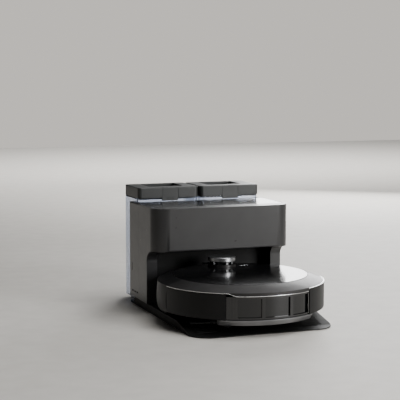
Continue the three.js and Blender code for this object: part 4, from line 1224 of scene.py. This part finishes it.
def window_frame():
    frame_box = extent("window_frame")
    plate = ring("window_bezel", FRAME_RADIUS - 2.8, FRAME_RADIUS, frame_box.z0, frame_box.z1)
    within(plate, front_band(WINDOW[0] + GAP, WINDOW[1] - GAP))
    for x0, x1 in PANES:
        cut(plate, prism("pane", rounded(x0, x1, 39, 77, 1.5, 6), -FAR, SEAM, "y"))
    for x in (-79, -73.5):
        rib = ring("rib", FRAME_RADIUS - 0.5, FRAME_RADIUS + 0.4, frame_box.z0 + 1, frame_box.z1 - 1)
        join(plate, within(rib, front_band(x - 0.7, x + 0.7)))
    bevel(plate, 0.35)
    return finished(plate, piano_black_abs, "bumper", ["window_frame"])


window_frame()
pane = extent("sensor_window")
window = ring("window_pane", FRAME_RADIUS - 5.2, FRAME_RADIUS - 3.2, pane.z0, pane.z1)
within(window, front_band(-78, 88))
finished(bevel(window, 0.3), smoked_acrylic, "bumper", ["sensor_window"])
chin = extent("chin")
lip = [(160, chin.z1), (158.5, chin.z0), *arc(164.3, chin.z0 + 1.2, 1.2, -90, -35, 4),
       (172.5, chin.z1 - 1.7), (172.5, chin.z1)]
guide = within(turned("bumper_lip", lip, CENTRE), front_band(-100, 100))
finished(bevel(guide, 0.4), silver_paint, "bumper", ["chin"])
# Painted highlight: a bright chrome strip at the window's right end stands in for the light caught by the
# window's end face.
strip_z = (WINDOW_Z0 + 1.5, VISOR_TOP - 1.5)
end_highlight_strip = ring("window_end_highlight_strip", FRAME_RADIUS + 0.2, FRAME_RADIUS + 1.2, *strip_z)
within(end_highlight_strip, front_band(86.2, 88.7))
finished(end_highlight_strip, bright_chrome, "bumper")

# %% Rear shell with its exhaust slots
def rear_shell():
    r = extent("rear_shell")
    waist = 50
    outside = [(RADIUS - 2.5 * ((waist - z) / 16) ** 2, z) for z in (34, 38, 42, 46)]
    outside += [(RADIUS - 2.6 * ((z - waist) / 36.6) ** 2, z) for z in (50, 57, 64, 71, 78, 83, r.z1)]
    inside = [(radius - 2.2, z) for radius, z in reversed(outside)]
    wall = turned("rear_shell_moulding", outside + inside, CENTRE)
    within(wall, block("rear", -FAR, FAR, r.y0, FAR, 0, 200))
    seeds = []
    for group in (62, 118):
        for i in range(9):
            a = math.radians(group + (i - 4) * 2.4)
            seeds += [(CENTRE[0] + 174 * math.cos(a), CENTRE[1] + 174 * math.sin(a), z) for z in (52, 62)]
    slots = grown("slots", (seeds, []), RADIAL, dark_satin_abs,
                  size=(12 * mm, 2.6 * mm, 7 * mm), centre=(0.0, CENTRE[1] * mm, 0.0))
    cut(wall, slots)
    bevel(wall, 0.35)
    return finished(wall, dark_satin_abs, "robot", ["rear_shell"])


rear_shell()

# %% [markdown]
# ## The scanning turret
# A laser range finder spins in the turret. Its cap is aluminium, turned and brushed on a lathe, and its
# ring has the deck's metallic paint. A dark drum turns between them, and four thin pillars carry the cap,
# which also senses knocks.

# %% Turret
spin = middle(turret_box)
tb, th, tc = turret_box, extent("lidar_head"), extent("lidar_cap")
TURRET_RADIUS = tb.x1
cup = [(0, tb.z0), (TURRET_RADIUS, tb.z0), *arc(TURRET_RADIUS - 0.8, tb.z1 - 0.8, 0.8, 0, 90, 4),
       (27, tb.z1), (27, 96.3), (0, 96.3)]
cup_ring = bevel(turned("turret_ring", cup, spin, 160), 0.2)
finished(cup_ring, metallic_paint, "robot", ["lidar_base"])
drum = [(0, th.z0), (th.x1, th.z0), *arc(th.x1 - 1, th.z1 - 1, 1, 0, 90, 4), (0, th.z1)]
head = turned("scanner_drum", drum, spin, 160)
for x in (-9, 9):
    cut(head, prism("eye", circle(x, 104, 4.2, 40), spin[1] - 40, spin[1] - 21.5, "y"))
finished(bevel(head, 0.3), smoked_acrylic, "lidar_head", ["lidar_head"])
crown = [(0, 112.5), (TURRET_RADIUS, 112.5), *arc(TURRET_RADIUS - 1.5, tc.z1 - 1.5, 1.5, 0, 90, 6),
         (25.2, tc.z1), (25, tc.z1 - 0.4), (24.4, tc.z1 - 0.4), (24.2, tc.z1), (0, tc.z1)]
crown_piece = turned("turret_cap", crown, spin, 160)
for i in range(4):
    a = (i + 0.5) * math.pi / 2 - 0.25
    post = circle(spin[0] + 27.8 * math.cos(a), spin[1] + 27.8 * math.sin(a), 1.3, 24)
    join(crown_piece, prism("post", post, tc.z0, 113))
finished(bevel(crown_piece, 0.2), brushed_turret, "lidar_cap", ["lidar_cap"])

# %% [markdown]
# ## Wheels and caster
# The drive wheels have soft tyres with raised lugs over a hard hub. The lugs stand in a ring round the axle:
# each seed point is pushed along its own radius, so the tree aligns every lug to the line from the axle.

# %% Lugs round an axle
def lug_tree():
    tree, given = new_tree("lugs", {"Size": (20 * mm, 4 * mm, 3 * mm), "Axle": (0.0, 0.0, 0.0)})
    bar = add(tree, "GeometryNodeMeshCube", {"Size": given["Size"]})
    here = add(tree, "GeometryNodeInputPosition")
    out = add(tree, "ShaderNodeVectorMath", {0: here.outputs[0], 1: given["Axle"]}, operation="SUBTRACT")
    flat = add(tree, "ShaderNodeVectorMath", {0: out.outputs[0], 1: (0.0, 1.0, 1.0)}, operation="MULTIPLY")
    parts = add(tree, "ShaderNodeSeparateXYZ", {0: flat.outputs[0]})
    angle = add(tree, "ShaderNodeMath", {0: parts.outputs[2], 1: parts.outputs[1]}, operation="ARCTAN2")
    turn = add(tree, "ShaderNodeCombineXYZ", {0: angle.outputs[0]})
    placed = add(tree, "GeometryNodeInstanceOnPoints", {
        "Points": given["Seed mesh"], "Instance": bar.outputs["Mesh"], "Rotation": turn.outputs[0]})
    return close_tree(tree, given, placed.outputs[0])


LUGS = lug_tree()


def wheel(side):
    node = f"wheel_{side}"
    w = extent(node)
    outer = 1 if w.x1 > 0 else -1
    cx = middle(w)[0]
    cy, cz = middle(w)[1], (w.z0 + w.z1) / 2
    radius = (w.z1 - w.z0) / 2
    root = radius - 1.6
    half = (w.x1 - w.x0) / 2
    tread = [(20, -half), *arc(root - 1.5, -half + 1.5, 1.5, -90, 0, 4),
             *arc(root - 1.5, half - 1.5, 1.5, 0, 90, 4), (20, half)]
    tyre = turned(f"tyre_{side}", [(r, cx + x) for r, x in tread], (cy, cz), 144, "x")
    angles = [2 * math.pi * i / 18 - math.pi / 2 for i in range(18)]
    seeds = [(cx, cy + (root + 0.2) * math.cos(a), cz + (root + 0.2) * math.sin(a)) for a in angles]
    lugs = grown("lugs", (seeds, []), LUGS, black_rubber,
                 size=((2 * half - 2) * mm, 2.8 * mm, 5.4 * mm), axle=(cx * mm, cy * mm, cz * mm))
    join(tyre, lugs)
    reach = prism("reach", circle(cy, cz, radius, 144), w.x0, w.x1, "x")
    within(tyre, reach)
    finished(bevel(tyre, 0.35), black_rubber, node, [node])
    ends = sorted((cx - outer * half, cx + outer * 7))
    hub = prism(f"hub_{side}", circle(cy, cz, 20, 96), *ends, "x")
    cut(hub, prism("bore", circle(cy, cz, 4, 32), w.x0 - 5, w.x1 + 5, "x"))
    for i in range(6):
        a = math.pi * i / 3
        window = circle(cy + 12.5 * math.cos(a), cz + 12.5 * math.sin(a), 3.6, 24)
        cut(hub, prism("window", window, *sorted((cx + outer * 4, cx + outer * 9)), "x"))
    finished(bevel(hub, 0.4), dark_satin_abs, node)


for side in ("left", "right"):
    wheel(side)
cw = extent("caster_wheel")
cy, cz = middle(cw)[1], (cw.z0 + cw.z1) / 2
roller = [(2.4, cw.x0), *arc(7.5, cw.x0 + 1.5, 1.5, -90, 0, 5),
          *arc(7.5, cw.x1 - 1.5, 1.5, 0, 90, 5), (2.4, cw.x1)]
caster = turned("caster_roller", roller, (cy, cz), 96, "x")
finished(caster, black_rubber, "caster_wheel", ["caster_wheel"])

# %% [markdown]
# ## Brushes
# A bristle is a thin tapered nylon rod. Hundreds stand along lines on the roller, so each is a five-sided
# cone from one tree, which points it away from the axle and tilts it a little at random. The rubber vanes
# between the bristle rows run in a shallow V, which carries the dirt to the middle.

# %% Bristles pointing along their own direction
def bristle_tree():
    tree, given = new_tree("bristles", {"Length": 8 * mm, "Thickness": 0.35 * mm, "Spread": 0.12, "Seed": 1,
                                        "Axle": (0.0, 0.0, 0.0), "Reach": (0.0, 1.0, 1.0)})
    rod = add(tree, "GeometryNodeMeshCone", {
        "Vertices": 5, "Radius Top": 0.0001, "Radius Bottom": given["Thickness"], "Depth": given["Length"]})
    here = add(tree, "GeometryNodeInputPosition")
    out = add(tree, "ShaderNodeVectorMath", {0: here.outputs[0], 1: given["Axle"]}, operation="SUBTRACT")
    flat = add(tree, "ShaderNodeVectorMath", {0: out.outputs[0], 1: given["Reach"]}, operation="MULTIPLY")
    straight = add(tree, "ShaderNodeVectorMath", {0: flat.outputs[0]}, operation="NORMALIZE")
    stray = add(tree, "FunctionNodeRandomValue", {
        0: (-1.0, -1.0, -1.0), 1: (1.0, 1.0, 1.0), "Seed": given["Seed"]}, data_type="FLOAT_VECTOR")
    shaken = add(tree, "ShaderNodeVectorMath", {
        0: stray.outputs[0], "Scale": given["Spread"]}, operation="SCALE")
    aim = add(tree, "ShaderNodeVectorMath", {0: straight.outputs[0], 1: shaken.outputs[0]}, operation="ADD")
    turn = add(tree, "FunctionNodeAlignRotationToVector", {"Vector": aim.outputs[0]}, axis="Z")
    placed = add(tree, "GeometryNodeInstanceOnPoints", {
        "Points": given["Seed mesh"], "Instance": rod.outputs["Mesh"], "Rotation": turn.outputs[0]})
    return close_tree(tree, given, placed.outputs[0])


BRISTLES = bristle_tree()

# %% Main brush
mainb = extent("main_brush")
BRUSH_RADIUS = (mainb.z1 - mainb.z0) / 2
axle = ((mainb.y0 + mainb.y1) / 2, (mainb.z0 + mainb.z1) / 2)
CORE = 9


def vane(name, start, inner, outer, thickness, twist=0.9, steps=48):
    """A thin blade along X whose angle leads in the middle, as a V."""
    verts, faces = [], []
    for i in range(steps + 1):
        x = mainb.x0 + (mainb.x1 - mainb.x0) * i / steps
        a = start + twist * (1 - abs(x) / mainb.x1)
        for r, side in ((inner, -1), (outer, -0.7), (outer, 0.7), (inner, 1)):
            b = a + side * thickness / 2 / r
            verts.append((x, axle[0] + r * math.cos(b), axle[1] + r * math.sin(b)))
    for i in range(steps):
        for j in range(4):
            m = (j + 1) % 4
            faces.append((i * 4 + j, i * 4 + m, i * 4 + 4 + m, i * 4 + 4 + j))
    faces += [(0, 1, 2, 3), tuple(steps * 4 + j for j in (3, 2, 1, 0))]
    return piece_from(name, verts, faces)


core = prism("roller_core", circle(*axle, CORE, 64), mainb.x0, mainb.x1, "x")
cut(core, prism("axle_hole", circle(*axle, 2.5, 24), mainb.x0 - 1, mainb.x0 + 8, "x"))
cut(core, prism("axle_hole", circle(*axle, 2.5, 24), mainb.x1 - 8, mainb.x1 + 1, "x"))
for i in range(3):
    join(core, vane("vane", i * 2 * math.pi / 3, CORE - 0.5, BRUSH_RADIUS - 0.1, 1.8))
finished(core, black_rubber, "main_brush", ["main_brush"])
tufts = []
for row in range(3):
    for i in range(110):
        x = mainb.x0 + 2 + (mainb.x1 - mainb.x0 - 4) * i / 109
        a = (row + 0.5) * 2 * math.pi / 3 + 0.9 * (1 - abs(x) / mainb.x1)
        for k in (-0.08, 0, 0.08):
            tufts.append((x, axle[0] + CORE * math.cos(a + k), axle[1] + CORE * math.sin(a + k)))
rows = grown("roller_bristles", (tufts, []), BRISTLES, grey_nylon, length=8.2 * mm, spread=0.1,
             axle=(0.0, axle[0] * mm, axle[1] * mm), reach=(0.0, 1.0, 1.0))
finished(rows, grey_nylon, "main_brush")

# %% Side brush
sb = extent("side_brush")
hub_at = (-95, CENTRE[1] - 100)
ROOT = 20.5             # the bristles start this far from the axle, inside the arms
knob = [(0, sb.z0), (7, sb.z0), (9, sb.z0 + 2), (9, 25), (7, 27), (4, 27), (4, sb.z1), (0, sb.z1)]
side_hub = turned("side_brush_hub", knob, hub_at, 64)
for i in range(3):
    a = math.radians(45 + i * 120)
    arm = rounded(5, 22, -2.6, 2.6, (0.5, 2.4, 2.4, 0.5), 6)
    c, s = math.cos(a), math.sin(a)
    turned_arm = [(hub_at[0] + x * c - y * s, hub_at[1] + x * s + y * c) for x, y in arm]
    join(side_hub, prism("arm", turned_arm, sb.z0 + 1, sb.z0 + 4.2))
finished(bevel(side_hub, 0.4), dark_satin_abs, "side_brush", ["side_brush"])
tips = []
for i in range(3):
    a = math.radians(45 + i * 120)
    for k in range(90):
        b = a + (k % 9 - 4) * 0.5 / 30
        rise = sb.z0 + 0.9 + (k // 9) * 0.28
        tips.append((hub_at[0] + ROOT * math.cos(b), hub_at[1] + ROOT * math.sin(b), rise))
fans = grown("side_brush_bristles", (tips, []), BRISTLES, grey_nylon, length=29 * mm,
             thickness=0.3 * mm, spread=0.02,
             axle=(hub_at[0] * mm, hub_at[1] * mm, 0.0), reach=(1.0, 1.0, 0.0))
finished(fans, grey_nylon, "side_brush")

# %% [markdown]
# ## Mop pads
# Each pad is a disc of looped microfibre over thin foam, held by a plastic plate on a shaft. The pad is
# crowned and its edge is full. Real loops are under 1 mm and far too many to model, so the tree sets about
# a thousand larger ones on the crowned underside, each a small arch with a random turn.

# %% Loops and pads
FULL_TURN = 6.283


def loop_tree():
    tree, given = new_tree("loops", {
        "Spacing": 2.4 * mm, "Loop radius": 1.1 * mm, "Yarn radius": 0.4 * mm, "Seed": 2})
    path = add(tree, "GeometryNodeCurvePrimitiveCircle", {"Resolution": 8, "Radius": given["Loop radius"]})
    yarn = add(tree, "GeometryNodeCurvePrimitiveCircle", {"Resolution": 4, "Radius": given["Yarn radius"]})
    arch = add(tree, "GeometryNodeCurveToMesh", {"Curve": path.outputs[0], "Profile Curve": yarn.outputs[0]})
    upright = add(tree, "GeometryNodeTransform", {
        "Geometry": arch.outputs[0], "Rotation": (math.pi / 2, 0.0, 0.0)})
    spots = add(tree, "GeometryNodeDistributePointsOnFaces", {
        "Mesh": given["Seed mesh"], "Distance Min": given["Spacing"], "Density Max": 300000.0,
        "Seed": given["Seed"]}, distribute_method="POISSON")
    swing = add(tree, "FunctionNodeRandomValue", {
        0: (0.0, 0.0, 0.0), 1: (0.0, 0.0, FULL_TURN), "Seed": given["Seed"]}, data_type="FLOAT_VECTOR")
    spun = add(tree, "FunctionNodeRotateRotation", {
        0: spots.outputs["Rotation"], 1: swing.outputs[0]}, rotation_space="LOCAL")
    placed = add(tree, "GeometryNodeInstanceOnPoints", {
        "Points": spots.outputs["Points"], "Instance": upright.outputs[0], "Rotation": spun.outputs[0]})
    return close_tree(tree, given, placed.outputs[0])


LOOPS = loop_tree()


def fan_faces(profile, centre, steps):
    """Points and faces of an open turned surface that faces down, for seeding."""
    angles = [2 * math.pi * i / steps for i in range(steps)]
    verts = [(centre[0] + r * math.cos(a), centre[1] + r * math.sin(a), z)
             for a in angles for r, z in profile]
    n = len(profile)
    faces = []
    for i in range(steps):
        k = (i + 1) % steps
        faces += [(i * n + j, i * n + j + 1, k * n + j + 1, k * n + j) for j in range(n - 1)]
    return verts, faces


for side in ("left", "right"):
    node = f"mop_pad_{side}"
    m = extent(node)
    at = middle(m)
    R = m.x1 - at[0]
    low = m.z0 + 0.8
    under = [(2, low), (R * 0.5, low), (R - 6, low + 0.3), (R - 2.5, low + 1.6), (R - 1, low + 3.2)]
    full = [(0, low), *under[1:], *arc(R - 2.6, low + 4.6, 1.6, 0, 80, 4), (0, 26)]
    pad = turned(f"mop_cloth_{side}", full, at, 128)
    for vertex in pad.data.vertices:
        x, y, z = (c / mm for c in vertex.co)
        r = math.hypot(x - at[0], y - at[1])
        quilt = 0.25 * math.sin(r * 0.9) * math.cos(6 * math.atan2(y - at[1], x - at[0]))
        if 6 < r < R - 4 and z < 22:
            vertex.co.z += max(quilt, -0.2) * mm
    finished(pad, mop_microfibre, node, [node])
    loops = grown(f"mop_loops_{side}", fan_faces(under, at, 72), LOOPS, mop_microfibre, spacing=2.6 * mm,
                  loop_radius=0.9 * mm, yarn_radius=0.35 * mm)
    finished(loops, mop_microfibre, node)
    plate = [(0, 26.2), (20, 26.2), (20, 27), (18, 29.4), (6, 29.4), (6, m.z1), (0, m.z1)]
    holder = turned(f"mop_holder_{side}", plate, at, 96)
    finished(bevel(holder, 0.3), dark_satin_abs, node)

# %% [markdown]
# ## Fasteners
# Screws hold the robot's underside and the station's base and back. They all come from the one screw tree.

# %% Screws
hull = extent("chassis")
around = [(-60, -110), (60, -110), (-140, -10), (140, -10), (-120, 90), (120, 90), (0, 130)]
under = [(x, CENTRE[1] + y, hull.z0 - 0.1) for x, y in around]
screws("chassis_screws", under, (0.0, 0.0, -1.0), "robot")
beneath = [(x, y, base.z0 + 0.2) for x in (-100, 0, 100) for y in (-60, 30, 150)]
screws("base_screws", beneath, (0.0, 0.0, -1.0), "station")
behind = [(x, back.y1 - 0.3, z) for x in (-132, 132) for z in (30, 120, 218)]
screws("back_screws", behind, (0.0, 1.0, 0.0), "station")

# %% [markdown]
# ## Stage, light and camera
# The floor is plain and pale. Broad soft lights stand where a window and a white wall would be: dark glossy
# plastic shows mostly what it reflects, so the lights are placed for their reflections. One stands behind
# and to the right for the polished tops, and a tall one at the right front grades the satin head. The
# left of the room and the side behind the camera are dark, which keeps the left panel and the bumper dark.

# %% Floor and world
floor = prism("studio_floor", rounded(-6000, 6000, -6000, 6000, 0), -20, -0.05)
floor.data.materials.append(moulded("pale_floor", ("#d8d4cd", "#e0dcd5"), 0.6, 3.0, 0.02))
world = bpy.data.worlds.new("studio")
bpy.context.scene.world = world
world.use_nodes = True
room = world.node_tree
direction = add(room, "ShaderNodeSeparateXYZ", {0: add(room, "ShaderNodeTexCoord").outputs["Generated"]})
# Pale at the horizon, dim just above it where the polished tops look, and brighter again overhead.
height = add(room, "ShaderNodeValToRGB", {"Fac": direction.outputs["Z"]})
bands = height.color_ramp
bands.elements[0].position = 0.062
bands.elements[0].color = linear("#e6e1da")
bands.elements[1].position = 0.08
bands.elements[1].color = linear("#5c5c5c")
for position, tone in ((0.3, "#4a4a4a"), (0.7, "#b0b0b0")):
    bands.elements.new(position).color = linear(tone)
# The left of the room is dark, and so is the side behind the camera.
across = add(room, "ShaderNodeMapRange", {
    "Value": direction.outputs["X"], "From Min": -0.3, "From Max": 0.15, "To Min": 0.05, "To Max": 1.0})
along = add(room, "ShaderNodeMapRange", {
    "Value": direction.outputs["Y"], "From Min": -0.4, "From Max": 0.3, "To Min": 0.25, "To Max": 1.0})
both = add(room, "ShaderNodeMath", {0: across.outputs[0], 1: along.outputs[0]}, operation="MULTIPLY")
shade = add(room, "ShaderNodeVectorMath", {
    0: height.outputs["Color"], "Scale": both.outputs[0]}, operation="SCALE")
room.links.new(shade.outputs[0], room.nodes["Background"].inputs["Color"])
room.nodes["Background"].inputs["Strength"].default_value = 0.9


# %% Lights
def light(name, at, towards, size, watts):
    lamp = bpy.data.lights.new(name, "AREA")
    lamp.shape = "RECTANGLE"
    lamp.size, lamp.size_y = size
    lamp.energy = watts
    holder = bpy.data.objects.new(name, lamp)
    holder.location = at
    holder.rotation_euler = (Vector(towards) - Vector(at)).to_track_quat("-Z", "Y").to_euler()
    holder.visible_camera = False
    bpy.context.scene.collection.objects.link(holder)


light("key_right_front", (1.5, -2.1, 0.9), (0.0, 0.0, 0.15), (1.0, 1.2), 55)
light("wall_behind_right", (1.5, 2.05, 0.9), (0.1, 0.0, 0.1), (1.2, 1.4), 42)
light("overhead", (0.6, -0.2, 2.4), (0.0, 0.0, 0.0), (1.6, 1.6), 40)
light("far_floor", (1.6, 3.4, 2.2), (1.6, 5.6, 0.0), (3.0, 1.6), 190)
light("left_fill", (-2.0, -1.6, 0.9), (0.0, 0.0, 0.12), (0.8, 1.4), 1)

# %% Camera
lens = bpy.data.cameras.new("camera")
lens.lens = 109.0
lens.sensor_width = 36.0
camera = bpy.data.objects.new("camera", lens)
camera.location = (-0.9478, -2.4060, 0.5132)
AZIMUTH = math.radians(20.32)
PITCH = math.radians(5.92)
aim = Vector((math.sin(AZIMUTH) * math.cos(PITCH), math.cos(AZIMUTH) * math.cos(PITCH), -math.sin(PITCH)))
camera.rotation_euler = aim.to_track_quat("-Z", "Y").to_euler()
bpy.context.scene.collection.objects.link(camera)
bpy.context.scene.camera = camera
